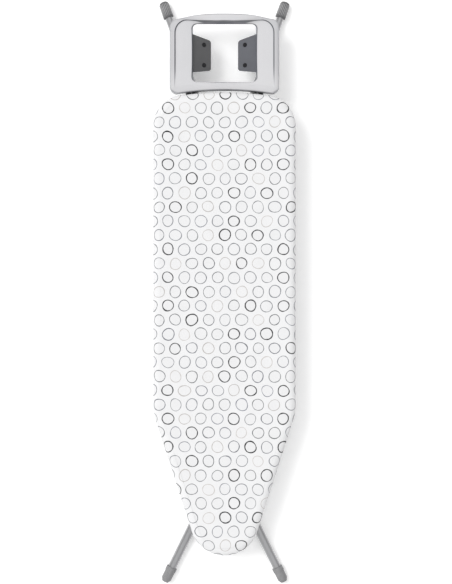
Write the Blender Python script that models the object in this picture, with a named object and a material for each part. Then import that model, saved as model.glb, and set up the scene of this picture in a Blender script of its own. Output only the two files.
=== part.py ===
"""Folding ironing board with a pull-out iron rest, folded flat and lying on its four feet.

Metres, +Z up. +Y points from the nose to the iron rest, and the scissor pivot is at y = 0.
Levels under the board are given from the height of the two upper leg axes, PIVOT_Z.
"""

import math

import bmesh
import bpy
from mathutils import Matrix, Vector

# Ironing surface, seen from above
BOARD_LENGTH = 1.100
BOARD_WIDTH = 0.340
HEEL_Y = 0.471
HEEL_CORNER_RADIUS = 0.075
SHOULDER_RADIUS = 0.100
NOSE_RADIUS = 0.082
TAPER_ANGLE = math.radians(18.0)

# Folding legs
ARM_LENGTH = 0.380
FOOT_REACH = 0.705
FOLDED_ANGLE = math.radians(2.0)
OPEN_ANGLE = math.radians(50.0)
FRONT_TUBE_DIAMETER = 0.020
REAR_TUBE_DIAMETER = 0.017
TUBE_WALL = 0.0012
TUBE_END = 0.0035
LEG_BEND_RADIUS = 0.090
FRONT_FOOT_SPREAD = 0.145
REAR_FOOT_SPREAD = 0.149
FRONT_SPLAY = math.radians(26.1)
REAR_SPLAY = math.radians(19.5)
CENTRE_SPACER = 0.005
SIDE_SPACER = 0.004

# Fits
GAP = 0.0003
PIN_DIAMETER = 0.008
PIN_CLEARANCE = 0.0003
ROUND_SIDES = 12
BOLT_HEAD_DIAMETER = 0.015
BOLT_HEAD_HEIGHT = 0.0052
SPACER_WALL = 0.0045
CLIP_WALL = 0.0042
CLIP_WIDTH = 0.0032
BUSH_WALL = 0.0022
BUSH_OVERHANG = 0.003
CAP_WALL = 0.0032
CAP_LENGTH = 0.0067

# Rubber feet
FOOT_DIAMETER = 0.025
FOOT_LENGTH = 0.040
FOOT_SOCKET = 0.028
FOOT_NOSE = 0.006
FOOT_RIBS = 14
FOOT_RIB_DEPTH = 0.0009

# Top, from the pivot height upwards
RAIL_TOP = 0.024
RIM_RADIUS = 0.007
RIM_WALL = 0.0012
RIM_FLANGE = 0.004
HEM_TO_REST = 0.0007
SHEET_THICKNESS = 0.001
FOAM_THICKNESS = 0.0045
COVER_THICKNESS = 0.0017
COVER_EDGE_RADIUS = 0.0087
HEM_WIDTH = 0.030

# Crossbars
BAR_WIDTH = 0.030
BAR_WALL = 0.0012
MID_BAR_Y = 0.150
HEEL_PLATE_BORDER = 0.005
HEEL_PLATE_INSET = 0.031

# Leg axle at the heel
AXLE_TUBE_WALL = 0.0037
BRACKET_X = 0.098
BRACKET_WALL = 0.002
BRACKET_LENGTH = 0.030
BRACKET_DROP = 0.010
BRACKET_FLANGE = 0.020

# Leg ties
TIE_WIDTH = 0.024
TIE_THICKNESS = 0.0025
TIE_OVERHANG = 0.006
FRONT_TIE_FROM_FOOT = 0.240
REAR_TIE_FROM_FOOT = 0.440

# Height rack
RACK_END = 0.035
RAIL_X = 0.051
RAIL_WALL = 0.002
RAIL_EDGE_ABOVE = 0.012
RAIL_EDGE_BELOW = 0.011
RAIL_FLANGE = 0.012
WORKING_HEIGHTS = (0.58, 0.64, 0.70, 0.76, 0.82)
BOARD_ABOVE_FEET = 0.049

# Catch and its lever
CATCH_HINGE_X = -0.044
CATCH_HINGE_LEVEL = 0.020
HINGE_ROD_DIAMETER = 0.006
KNUCKLE_DIAMETER = 0.010
KNUCKLE_LENGTH = 0.030
CATCH_WALL = 0.0015
CATCH_TOOTH_X = 0.030
TIP_CLEARANCE = 0.0004
NOTCH_DEPTH = 0.0065
NOTCH_PLAY = 0.0005
CATCH_OVERHANG = 0.015
TAB_WALL = 0.002
LEVER_SETBACK = 0.021
LEVER_WIDTH = 0.014
LEVER_THICKNESS = 0.003
GRIP_SIZE = (0.043, 0.034, 0.012)
GRIP_END_WALL = 0.010
GRIP_TO_HEM = 0.005
SPRING_TURNS = 4
SPRING_WIRE = 0.0012

# Iron rest. Its places along Y are measured from its front edge.
REST_TO_BOARD = 0.002
REST_LENGTH = 0.179
REST_HALF_WIDTH = 0.131
REST_CORNER_RADIUS = 0.018
REST_FRONT_HOLLOW = 0.008
REST_REAR_BULGE = 0.012
REST_OPENING_X = 0.0765
REST_OPENING_SPAN = (0.029, 0.167)
REST_OPENING_RADIUS = 0.010
REST_WALL = 0.002
REST_HEIGHT = 0.0202
ROD_TO_AXLE = 0.002
REST_DISH_DEPTH = 0.004
REST_RIM_WIDTH = 0.013
REST_FENCE_HEIGHT = 0.008
REST_INNER_SKIRT = 0.009
REST_ROD_X = 0.079
REST_ROD_SPAN = (-0.143, 0.177)
ROD_COLLAR_RISE = 0.0014
ROD_COLLAR_LENGTH = 0.003
SCREW_SPAN = (0.019, 0.173)
SCREW_SHAFT = 0.004
SCREW_HEAD = 0.009
SCREW_HEAD_HEIGHT = 0.003
BOSS_DIAMETER = 0.010

# Guides that hold the iron rest's rods
GUIDE_LENGTH = 0.080
GUIDE_REACH = 0.007
GUIDE_WIDTH = 0.028
GUIDE_WALL = 0.0027
GUIDE_TO_HEM = 0.003
GUIDE_SCREW_OFFSET = 0.009
GUIDE_SCREW_SHAFT = 0.003
GUIDE_SCREW_HEAD = 0.006
GUIDE_SCREW_HEAD_HEIGHT = 0.002

# Heat pads of the iron rest
PAD_ROOT_WIDTH = 0.012
PAD_REACH = 0.044
PAD_SLOPE = math.radians(25.0)
PAD_THICKNESS = 0.0025
PAD_ROOT_SPAN = (0.0525, 0.144)
PAD_TIP_SPAN = (0.059, 0.131)
PAD_STUD_X = 0.049
PAD_STUD_SPAN = (0.071, 0.120)
PAD_CORNER = 0.004
STUD_DIAMETER = 0.004
STUD_HEAD_DIAMETER = 0.008
STUD_HEAD_HEIGHT = 0.0015

REST_FRONT_Y = HEEL_Y + REST_TO_BOARD
REST_REAR_Y = REST_FRONT_Y + REST_LENGTH
REST_OPENING_Y = [REST_FRONT_Y + y for y in REST_OPENING_SPAN]
REST_ROD_Y = [REST_FRONT_Y + y for y in REST_ROD_SPAN]
SCREW_Y = [REST_FRONT_Y + y for y in SCREW_SPAN]
PAD_ROOT_Y = [REST_FRONT_Y + y for y in PAD_ROOT_SPAN]
PAD_TIP_Y = [REST_FRONT_Y + y for y in PAD_TIP_SPAN]
PAD_STUD_Y = [REST_FRONT_Y + y for y in PAD_STUD_SPAN]
GUIDE_END_Y = HEEL_Y + GUIDE_REACH
GUIDE_START_Y = GUIDE_END_Y - GUIDE_LENGTH
LEG_LENGTH = ARM_LENGTH + FOOT_REACH
AXLE_Y = ARM_LENGTH * math.cos(FOLDED_ANGLE)
FRONT_TUBE_RADIUS = FRONT_TUBE_DIAMETER / 2
REAR_TUBE_RADIUS = REAR_TUBE_DIAMETER / 2
REAR_TUBE_X = CENTRE_SPACER / 2 + REAR_TUBE_RADIUS
FRONT_TUBE_X = REAR_TUBE_X + REAR_TUBE_RADIUS + SIDE_SPACER + FRONT_TUBE_RADIUS
PIN_RADIUS = PIN_DIAMETER / 2
PIN_HOLE_RADIUS = PIN_RADIUS + PIN_CLEARANCE
BUSH_RADIUS = PIN_HOLE_RADIUS + BUSH_WALL
AXLE_TUBE_RADIUS = PIN_HOLE_RADIUS + AXLE_TUBE_WALL
REST_ROD_LEVEL = AXLE_TUBE_RADIUS + ROD_TO_AXLE + PIN_RADIUS
REST_SKIRT_LEVEL = REST_ROD_LEVEL + PIN_RADIUS + GAP
REST_TOP_LEVEL = REST_SKIRT_LEVEL + REST_HEIGHT
RIM_INSET = COVER_THICKNESS + GAP + RIM_RADIUS
RIM_LEVEL = REST_SKIRT_LEVEL + HEM_TO_REST + RIM_INSET
GUIDE_BOTTOM_LEVEL = REST_ROD_LEVEL - PIN_HOLE_RADIUS - GUIDE_WALL
PIVOT_Z = (
    FOOT_DIAMETER / 2 * math.cos(FOLDED_ANGLE)
    + (LEG_LENGTH - FOOT_NOSE * math.cos(FRONT_SPLAY)) * math.sin(FOLDED_ANGLE)
)
SCISSOR_Z = PIVOT_Z - ARM_LENGTH * math.sin(FOLDED_ANGLE)
PAD_LEVEL = PIVOT_Z + REST_TOP_LEVEL - REST_DISH_DEPTH - REST_INNER_SKIRT - GAP


def slide_rod_y(angle):
    """Where the sliding leg's rod is along the rack, with the legs at this angle."""
    return AXLE_Y - 2 * ARM_LENGTH * math.cos(angle)


HEEL_PLATE_Y = (
    min(AXLE_Y - BRACKET_LENGTH / 2, GUIDE_START_Y) - HEEL_PLATE_BORDER,
    HEEL_Y - HEEL_PLATE_INSET,
)
RACK_BAR_Y = (
    slide_rod_y(FOLDED_ANGLE) - RACK_END - BAR_WIDTH / 2,
    slide_rod_y(OPEN_ANGLE) + RACK_END + BAR_WIDTH / 2,
)
LEVER_Y = slide_rod_y(OPEN_ANGLE) - LEVER_SETBACK
GRIP_END_X = BOARD_WIDTH / 2 - HEM_WIDTH - GRIP_TO_HEM


# ---------------------------------------------------------------- tools


def clear_scene():
    for obj in list(bpy.data.objects):
        bpy.data.objects.remove(obj)


def make_material(name, colour, roughness, metallic=0.0):
    made = bpy.data.materials.new(name)
    made.use_nodes = True
    shader = made.node_tree.nodes["Principled BSDF"]
    shader.inputs["Base Color"].default_value = (*colour, 1.0)
    shader.inputs["Roughness"].default_value = roughness
    shader.inputs["Metallic"].default_value = metallic
    return made


def make_empty(name, location, tilt=0.0):
    """A body's frame, which its pieces are parented to."""
    empty = bpy.data.objects.new(name, None)
    bpy.context.scene.collection.objects.link(empty)
    empty.location = location
    empty.rotation_euler = (tilt, 0.0, 0.0)
    return empty


def add_mesh(name, bm, body, material):
    bmesh.ops.recalc_face_normals(bm, faces=bm.faces)
    mesh = bpy.data.meshes.new(name)
    bm.to_mesh(mesh)
    bm.free()
    mesh.shade_smooth()
    mesh.set_sharp_from_angle(angle=math.radians(35))
    obj = bpy.data.objects.new(name, mesh)
    bpy.context.scene.collection.objects.link(obj)
    obj.parent = body
    if material:
        mesh.materials.append(material)
    return obj


def loft(name, rings, body, material, closed=False):
    """A skin through rings of equally many points, with flat ends, or closed on itself."""
    bm = bmesh.new()
    loops = [[bm.verts.new(point) for point in ring] for ring in rings]
    count = len(loops[0])
    pairs = list(zip(loops, loops[1:]))
    if closed:
        pairs.append((loops[-1], loops[0]))
    for lower, upper in pairs:
        for i in range(count):
            j = (i + 1) % count
            bm.faces.new((lower[i], lower[j], upper[j], upper[i]))
    if not closed:
        bm.faces.new(loops[0])
        bm.faces.new(loops[-1])
    return add_mesh(name, bm, body, material)


def box(name, low, high, body, material):
    corners = [(low[0], low[1]), (high[0], low[1]), (high[0], high[1]), (low[0], high[1])]
    rings = [[(x, y, z) for x, y in corners] for z in (low[2], high[2])]
    return loft(name, rings, body, material)


def prism(name, outline, low, high, axis, body, material):
    """An outline in the other two axes, extruded along one axis from low to high."""
    place = {
        "X": lambda p, s: (s, p[0], p[1]),
        "Y": lambda p, s: (p[0], s, p[1]),
        "Z": lambda p, s: (p[0], p[1], s),
    }[axis]
    rings = [[place(point, level) for point in outline] for level in (low, high)]
    return loft(name, rings, body, material)


def circle_in(axis, centre, radius, sides, shape=None, phase=0.0):
    """A ring of points square to an axis. shape scales the radius at each angle."""
    ring = []
    for i in range(sides):
        angle = 2 * math.pi * (i + phase) / sides
        r = radius * (shape(angle) if shape else 1.0)
        u, v = r * math.cos(angle), r * math.sin(angle)
        offset = {"X": (0, u, v), "Y": (u, 0, v), "Z": (u, v, 0)}[axis]
        ring.append(Vector(centre) + Vector(offset))
    return ring


def turned(name, axis, centre, profile, body, material, sides=ROUND_SIDES, shape=None):
    """A lathe shape: profile lists (distance along the axis, radius), with flat ends."""
    along = Vector({"X": (1, 0, 0), "Y": (0, 1, 0), "Z": (0, 0, 1)}[axis])
    rings = [
        circle_in(axis, Vector(centre) + along * distance, radius, sides, shape)
        for distance, radius in profile
    ]
    return loft(name, rings, body, material)


def hexagon(angle):
    """How far out a hexagon's edge is at this angle, where its corners are at 1."""
    sixth = math.pi / 3
    return math.cos(sixth / 2) / math.cos(angle % sixth - sixth / 2)


def filleted(points, radius, steps=6):
    """A polyline whose inner corners are arcs of this radius."""
    path = [Vector(points[0])]
    for before, corner, after in zip(points, points[1:], points[2:]):
        corner = Vector(corner)
        back = (Vector(before) - corner).normalized()
        ahead = (Vector(after) - corner).normalized()
        half = back.angle(ahead) / 2
        centre = corner + (back + ahead).normalized() * radius / math.sin(half)
        start = corner + back * radius / math.tan(half) - centre
        end = corner + ahead * radius / math.tan(half) - centre
        path += [centre + radius * start.slerp(end, i / steps) for i in range(steps + 1)]
    path.append(Vector(points[-1]))
    return path


def path_rings(path, radius, sides, shape=None):
    """Rings round a path that lies flat in its own XY plane."""
    rings = []
    for i, point in enumerate(path):
        ahead = (path[min(i + 1, len(path) - 1)] - path[max(i - 1, 0)]).normalized()
        side = Vector((ahead.y, -ahead.x, 0.0))
        ring = []
        for k in range(sides):
            angle = 2 * math.pi * k / sides
            r = radius * (shape(angle) if shape else 1.0)
            ring.append(point + side * r * math.cos(angle) + Vector((0, 0, r * math.sin(angle))))
        rings.append(ring)
    return rings


def hollow_tube(name, path, radius, body, material):
    outside = path_rings(path, radius, ROUND_SIDES)
    inside = path_rings(path, radius - TUBE_WALL, ROUND_SIDES)
    return loft(name, outside + inside[::-1], body, material, closed=True)


def boolean(target, other, operation):
    """Cuts or joins target with other, which stays as a hidden helper."""
    modifier = target.modifiers.new(other.name, "BOOLEAN")
    modifier.operation = operation
    modifier.solver = "EXACT"
    modifier.object = other
    other.hide_render = True
    other.display_type = "WIRE"
    return target


def cut(target, *others):
    for other in others:
        boolean(target, other, "DIFFERENCE")
    return target


def join(target, *others):
    for other in others:
        boolean(target, other, "UNION")
    return target


def cross_hole(name, axis, centre, radius, half_length, body):
    """A drill along an axis, turned half a side so that no edge lies along a tube's edge."""
    along = Vector({"X": (1, 0, 0), "Y": (0, 1, 0), "Z": (0, 0, 1)}[axis])
    rings = [
        circle_in(axis, Vector(centre) + along * distance, radius, ROUND_SIDES, phase=0.5)
        for distance in (-half_length, half_length)
    ]
    return loft(name, rings, body, None)


# ---------------------------------------------------------------- board


def board_outline(inset, nose_steps=16, corner_steps=8, shoulder_steps=3):
    """The board's plan, moved inwards by inset: five arcs joined by straight runs."""
    nose_y = HEEL_Y - BOARD_LENGTH + NOSE_RADIUS
    shoulder_x = BOARD_WIDTH / 2 - SHOULDER_RADIUS
    corner_x = BOARD_WIDTH / 2 - HEEL_CORNER_RADIUS
    corner_y = HEEL_Y - HEEL_CORNER_RADIUS
    run = math.cos(TAPER_ANGLE) * shoulder_x + SHOULDER_RADIUS - NOSE_RADIUS
    shoulder_y = nose_y + run / math.sin(TAPER_ANGLE)
    taper, right, half = TAPER_ANGLE, math.pi / 2, math.pi
    arcs = [
        ((0.0, nose_y), NOSE_RADIUS, half + taper, 2 * half - taper, nose_steps),
        ((shoulder_x, shoulder_y), SHOULDER_RADIUS, -taper, 0.0, shoulder_steps),
        ((corner_x, corner_y), HEEL_CORNER_RADIUS, 0.0, right, corner_steps),
        ((-corner_x, corner_y), HEEL_CORNER_RADIUS, right, half, corner_steps),
        ((-shoulder_x, shoulder_y), SHOULDER_RADIUS, half, half + taper, shoulder_steps),
    ]
    outline = []
    for (x, y), radius, start, end, steps in arcs:
        for i in range(steps + 1):
            angle = start + (end - start) * i / steps
            reach = radius - inset
            outline.append((x + reach * math.cos(angle), y + reach * math.sin(angle)))
    return outline


def outline_ring(inset, level):
    return [(x, y, PIVOT_Z + level) for x, y in board_outline(inset)]


def edge_arc(centre_inset, centre_level, radius, start, end, steps):
    """Rings that round the board's edge, at angles from straight out (0) to up (90)."""
    rings = []
    for i in range(steps + 1):
        angle = math.radians(start + (end - start) * i / steps)
        inset = centre_inset - radius * math.cos(angle)
        rings.append(outline_ring(inset, centre_level + radius * math.sin(angle)))
    return rings


SHEET_LEVEL = RIM_LEVEL + RIM_RADIUS + GAP
FOAM_LEVEL = SHEET_LEVEL + SHEET_THICKNESS + GAP
COVER_TOP_LEVEL = FOAM_LEVEL + FOAM_THICKNESS + GAP + COVER_THICKNESS
EDGE_CENTRE_LEVEL = COVER_TOP_LEVEL - COVER_EDGE_RADIUS
BAR_TOP = RIM_LEVEL + RIM_RADIUS
BAR_BOTTOM = RAIL_TOP + GAP
BAR_INSET = RIM_INSET + RIM_FLANGE + GAP


def make_cover(body, material):
    """Cotton cover: a flat top, a rounded edge, and a hem turned in under the rim."""
    outer, inner = COVER_EDGE_RADIUS, COVER_EDGE_RADIUS - COVER_THICKNESS
    under = RIM_INSET
    inner_wrap = RIM_RADIUS + GAP + 0.0002
    outer_wrap = RIM_INSET
    hem_top = RIM_LEVEL - inner_wrap
    hem_bottom = RIM_LEVEL - outer_wrap
    rings = edge_arc(outer, EDGE_CENTRE_LEVEL, outer, 90, 0, 4)
    rings += edge_arc(under, RIM_LEVEL, outer_wrap, 0, -90, 4)
    rings.append(outline_ring(HEM_WIDTH, hem_bottom))
    rings.append(outline_ring(HEM_WIDTH, hem_top))
    rings += edge_arc(under, RIM_LEVEL, inner_wrap, -90, 0, 4)
    rings += edge_arc(outer, EDGE_CENTRE_LEVEL, inner, 0, 90, 4)
    return loft("cover", rings, body, material)


def make_foam(body, material):
    radius = COVER_EDGE_RADIUS - COVER_THICKNESS - GAP
    start = math.degrees(math.asin((FOAM_LEVEL - EDGE_CENTRE_LEVEL) / radius))
    rings = edge_arc(COVER_EDGE_RADIUS, EDGE_CENTRE_LEVEL, radius, start, 90, 3)
    return loft("foam_pad", rings, body, material)


def make_sheet(body, material):
    inset = COVER_THICKNESS + 3 * GAP
    rings = [outline_ring(inset, SHEET_LEVEL + rise) for rise in (0.0, SHEET_THICKNESS)]
    return loft("mesh_top", rings, body, material)


def make_rim(body, material):
    """A half-round steel channel, open inwards, bent round the board's outline."""
    inner = RIM_RADIUS - RIM_WALL
    lip = RIM_INSET + RIM_FLANGE
    rings = [outline_ring(lip, RIM_LEVEL - RIM_RADIUS)]
    rings += edge_arc(RIM_INSET, RIM_LEVEL, RIM_RADIUS, -90, 90, 8)
    rings.append(outline_ring(lip, RIM_LEVEL + RIM_RADIUS))
    rings.append(outline_ring(lip, RIM_LEVEL + inner))
    rings += edge_arc(RIM_INSET, RIM_LEVEL, inner, 90, -90, 8)
    rings.append(outline_ring(lip, RIM_LEVEL - inner))
    return loft("rim_channel", rings, body, material, closed=True)


def make_crossbar(name, low_y, high_y, body, material):
    """A channel across the board, open upwards, cut to the rim at both ends."""
    low, high = PIVOT_Z + BAR_BOTTOM, PIVOT_Z + BAR_TOP
    section = [
        (low_y, low),
        (high_y, low),
        (high_y, high),
        (high_y - BAR_WALL, high),
        (high_y - BAR_WALL, low + BAR_WALL),
        (low_y + BAR_WALL, low + BAR_WALL),
        (low_y + BAR_WALL, high),
        (low_y, high),
    ]
    bar = prism(name, section, -BOARD_WIDTH / 2, BOARD_WIDTH / 2, "X", body, material)
    plan = board_outline(BAR_INSET)
    trim = prism(name + "_trim", plan, low - 0.01, high + 0.01, "Z", body, None)
    return boolean(bar, trim, "INTERSECT")


# ---------------------------------------------------------------- heel axle


def make_axle_bracket(side, body, material):
    name = "axle_bracket_" + ("left" if side < 0 else "right")
    near, far = BRACKET_X, BRACKET_X + BRACKET_WALL
    top, bottom = PIVOT_Z + RAIL_TOP, PIVOT_Z - BRACKET_DROP
    outline = [
        (near, bottom),
        (far, bottom),
        (far, top - BRACKET_WALL),
        (far + BRACKET_FLANGE, top - BRACKET_WALL),
        (far + BRACKET_FLANGE, top),
        (near, top),
    ]
    outline = [(side * x, z) for x, z in outline]
    low_y, high_y = AXLE_Y - BRACKET_LENGTH / 2, AXLE_Y + BRACKET_LENGTH / 2
    bracket = prism(name, outline, low_y, high_y, "Y", body, material)
    centre = (side * near, AXLE_Y, PIVOT_Z)
    return cut(bracket, cross_hole(name + "_bore", "X", centre, PIN_HOLE_RADIUS, 0.01, body))


def make_axle(body, steel, plastic):
    """The rod through both brackets and the leg tube, with a cap pushed on each end."""
    centre = (0, AXLE_Y, PIVOT_Z)
    cap_start = BRACKET_X + BRACKET_WALL + GAP
    rod_end = cap_start + CAP_LENGTH * 0.55
    turned("axle_rod", "X", centre, [(-rod_end, PIN_RADIUS), (rod_end, PIN_RADIUS)], body, steel)
    for side, word in ((-1, "left"), (1, "right")):
        profile = [
            (side * cap_start, PIN_HOLE_RADIUS + CAP_WALL),
            (side * (cap_start + CAP_LENGTH * 0.7), PIN_HOLE_RADIUS + CAP_WALL),
            (side * (cap_start + CAP_LENGTH), PIN_HOLE_RADIUS + CAP_WALL * 0.3),
        ]
        cap = turned("axle_cap_" + word, "X", centre, profile, body, plastic)
        bore = [(side * (cap_start - 0.002), PIN_HOLE_RADIUS), (side * (rod_end + GAP), PIN_HOLE_RADIUS)]
        cut(cap, turned("axle_cap_bore_" + word, "X", centre, bore, body, None))


# ---------------------------------------------------------------- height rack


def rail_profile():
    """Side view of a rack rail: a strip with a raised ear over each crossbar."""
    low, high = PIVOT_Z - RAIL_EDGE_BELOW, PIVOT_Z + RAIL_EDGE_ABOVE
    top = PIVOT_Z + RAIL_TOP
    half = BAR_WIDTH / 2
    nose_start, nose_end = RACK_BAR_Y[0] - half, RACK_BAR_Y[0] + half
    heel_start, heel_end = RACK_BAR_Y[1] - half, RACK_BAR_Y[1] + half
    return [
        (nose_start, low),
        (heel_end, low),
        (heel_end, top),
        (heel_start, top),
        (heel_start, high),
        (nose_end, high),
        (nose_end, top),
        (nose_start, top),
    ]


def slot_outline(low_y, high_y, radius, steps=8):
    """A slot with round ends, centred on the pivot height."""
    outline = []
    for centre, start in ((high_y, -90), (low_y, 90)):
        for i in range(steps + 1):
            angle = math.radians(start + 180 * i / steps)
            outline.append((centre + radius * math.cos(angle), PIVOT_Z + radius * math.sin(angle)))
    return outline


def make_rail(side, body, material):
    word = "left" if side < 0 else "right"
    name = "rack_rail_" + word
    near, far = side * RAIL_X, side * (RAIL_X + RAIL_WALL)
    rail = prism(name, rail_profile(), near, far, "X", body, material)
    flange_top = PIVOT_Z + RAIL_TOP
    for label, centre_y in (("nose", RACK_BAR_Y[0]), ("heel", RACK_BAR_Y[1])):
        low = (min(near, side * (RAIL_X + RAIL_FLANGE)), centre_y - BAR_WIDTH / 2)
        high = (max(near, side * (RAIL_X + RAIL_FLANGE)), centre_y + BAR_WIDTH / 2)
        flange = box(
            f"{name}_{label}_flange",
            (*low, flange_top - RAIL_WALL),
            (*high, flange_top),
            body,
            None,
        )
        join(rail, flange)
    if side < 0:
        join(rail, *make_hinge_tabs(body))
    radius = BUSH_RADIUS + PIN_CLEARANCE
    slot = slot_outline(slide_rod_y(FOLDED_ANGLE), slide_rod_y(OPEN_ANGLE), radius)
    start, end = side * (RAIL_X - 0.01), side * (RAIL_X + 0.01)
    cut(rail, prism(name + "_slot", slot, start, end, "X", body, None))
    if side < 0:
        bore = cross_hole(
            name + "_hinge_bore",
            "Y",
            (CATCH_HINGE_X, sum(RACK_BAR_Y) / 2, PIVOT_Z + CATCH_HINGE_LEVEL),
            HINGE_ROD_DIAMETER / 2 + PIN_CLEARANCE,
            0.25,
            body,
        )
        cut(rail, bore)
    return rail


def catch_span():
    """The toothed strip's ends along Y, just past its first and last notch."""
    return (
        slide_rod_y(FOLDED_ANGLE) - CATCH_OVERHANG,
        slide_rod_y(OPEN_ANGLE) + CATCH_OVERHANG,
    )


def hinge_tab_ys():
    half = BAR_WIDTH / 2
    return (RACK_BAR_Y[0] + half + 0.0005, RACK_BAR_Y[1] - half - 0.0005 - TAB_WALL)


def make_hinge_tabs(body):
    tabs = []
    for i, low_y in enumerate(hinge_tab_ys()):
        low = (-RAIL_X - RAIL_WALL, low_y, PIVOT_Z + RAIL_EDGE_ABOVE - 0.002)
        high = (CATCH_HINGE_X + 0.006, low_y + TAB_WALL, PIVOT_Z + CATCH_HINGE_LEVEL + 0.006)
        tabs.append(box(f"hinge_tab_{i}", low, high, body, None))
    return tabs


def make_hinge_rod(body, material):
    low, high = hinge_tab_ys()
    radius = HINGE_ROD_DIAMETER / 2
    ends = [(low - 0.003, radius), (high + TAB_WALL + 0.003, radius)]
    centre = (CATCH_HINGE_X, 0, PIVOT_Z + CATCH_HINGE_LEVEL)
    return turned("catch_hinge_rod", "Y", centre, ends, body, material)


def make_spring(body, material):
    """A torsion spring of round wire, coiled on the hinge rod."""
    coil_radius = HINGE_ROD_DIAMETER / 2 + PIN_CLEARANCE + SPRING_WIRE / 2 + 0.0002
    start_y = catch_span()[1] + SPRING_WIRE / 2 + GAP + 0.0003
    end_y = hinge_tab_ys()[1] - SPRING_WIRE / 2 - GAP - 0.0003
    steps_per_turn, sides = 12, 6
    steps = SPRING_TURNS * steps_per_turn
    rings = []
    for i in range(steps + 1):
        angle = 2 * math.pi * i / steps_per_turn
        out = Vector((math.cos(angle), 0, math.sin(angle)))
        centre = Vector((CATCH_HINGE_X, start_y, PIVOT_Z + CATCH_HINGE_LEVEL))
        centre += out * coil_radius + Vector((0, (end_y - start_y) * i / steps, 0))
        ring = []
        for k in range(sides):
            turn = 2 * math.pi * k / sides
            offset = out * math.cos(turn) + Vector((0, math.sin(turn), 0))
            ring.append(centre + offset * SPRING_WIRE / 2)
        rings.append(ring)
    return loft("catch_spring", rings, body, material)


def notch_ys():
    """The rod's places under the catch: folded, then each working height."""
    reach = [(height - BOARD_ABOVE_FEET) / LEG_LENGTH for height in WORKING_HEIGHTS]
    angles = [FOLDED_ANGLE, *map(math.asin, reach), OPEN_ANGLE]
    return [slide_rod_y(angle) for angle in angles]


def make_catch(body, material):
    """A strip hinged along one edge, with a notched flange that drops over the slide rod."""
    low_y, high_y = catch_span()
    level = PIVOT_Z + CATCH_HINGE_LEVEL
    tip = PIVOT_Z + PIN_RADIUS + TIP_CLEARANCE
    under, over = level - CATCH_WALL / 2, level + CATCH_WALL / 2
    start_x = CATCH_HINGE_X + KNUCKLE_DIAMETER / 2 - 0.001
    flange_x = CATCH_TOOTH_X - CATCH_WALL
    section = [
        (start_x, under),
        (flange_x, under),
        (flange_x, tip),
        (CATCH_TOOTH_X, tip),
        (CATCH_TOOTH_X, over),
        (start_x, over),
    ]
    catch = prism("catch_plate", section, low_y, high_y, "Y", body, material)
    bore_radius = HINGE_ROD_DIAMETER / 2 + PIN_CLEARANCE
    centre = (CATCH_HINGE_X, 0, level)
    for i, start_y in enumerate((low_y, high_y - KNUCKLE_LENGTH)):
        ends = [
            (start_y, KNUCKLE_DIAMETER / 2),
            (start_y + KNUCKLE_LENGTH, KNUCKLE_DIAMETER / 2),
        ]
        join(catch, turned(f"knuckle_{i}", "Y", centre, ends, body, None))
    middle = (CATCH_HINGE_X, (low_y + high_y) / 2, level)
    cut(catch, cross_hole("catch_bore", "Y", middle, bore_radius, 0.25, body))
    half = PIN_RADIUS + NOTCH_PLAY
    for i, notch_y in enumerate(notch_ys()):
        low = (flange_x - 0.002, notch_y - half, tip - 0.002)
        high = (CATCH_TOOTH_X + 0.002, notch_y + half, tip + NOTCH_DEPTH)
        cut(catch, box(f"notch_{i}", low, high, body, None))
    return catch


def make_lever(body, steel, plastic):
    bottom = PIVOT_Z + CATCH_HINGE_LEVEL + CATCH_WALL / 2 + GAP
    low = (0.005, LEVER_Y - LEVER_WIDTH / 2, bottom)
    end_x = GRIP_END_X - GRIP_END_WALL
    high = (end_x, LEVER_Y + LEVER_WIDTH / 2, bottom + LEVER_THICKNESS)
    box("lever_arm", low, high, body, steel)
    length, width, height = GRIP_SIZE
    start_x = GRIP_END_X - length
    middle = bottom + LEVER_THICKNESS / 2
    chamfer = 0.003
    section = []
    for sx, sz in ((1, 1), (-1, 1), (-1, -1), (1, -1)):
        corner = [
            (sx * width / 2, sz * (height / 2 - chamfer)),
            (sx * (width / 2 - chamfer), sz * height / 2),
        ]
        section += corner if sx * sz > 0 else corner[::-1]
    section = [(LEVER_Y + y, middle + z) for y, z in section]
    grip = prism("lever_grip", section, start_x, start_x + length, "X", body, plastic)
    pocket_low = (start_x - 0.005, low[1] - GAP, low[2] - GAP)
    pocket_high = (high[0] + GAP, high[1] + GAP, high[2] + GAP)
    cut(grip, box("lever_grip_pocket", pocket_low, pocket_high, body, None))


# ---------------------------------------------------------------- legs


def leg_path(start, tube_x, foot_x, foot_y, splay, direction):
    """A leg's centre line: straight, then splayed to its foot, which is along direction."""
    run = (abs(foot_x) - abs(tube_x)) / math.tan(splay)
    bend = (tube_x, foot_y - direction * run, 0.0)
    ahead = (Vector((foot_x, foot_y, 0.0)) - Vector(bend)).normalized()
    end = Vector((foot_x, foot_y, 0.0)) - ahead * (FOOT_LENGTH - FOOT_SOCKET)
    return filleted([(tube_x, start, 0.0), bend, end], LEG_BEND_RADIUS)


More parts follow.
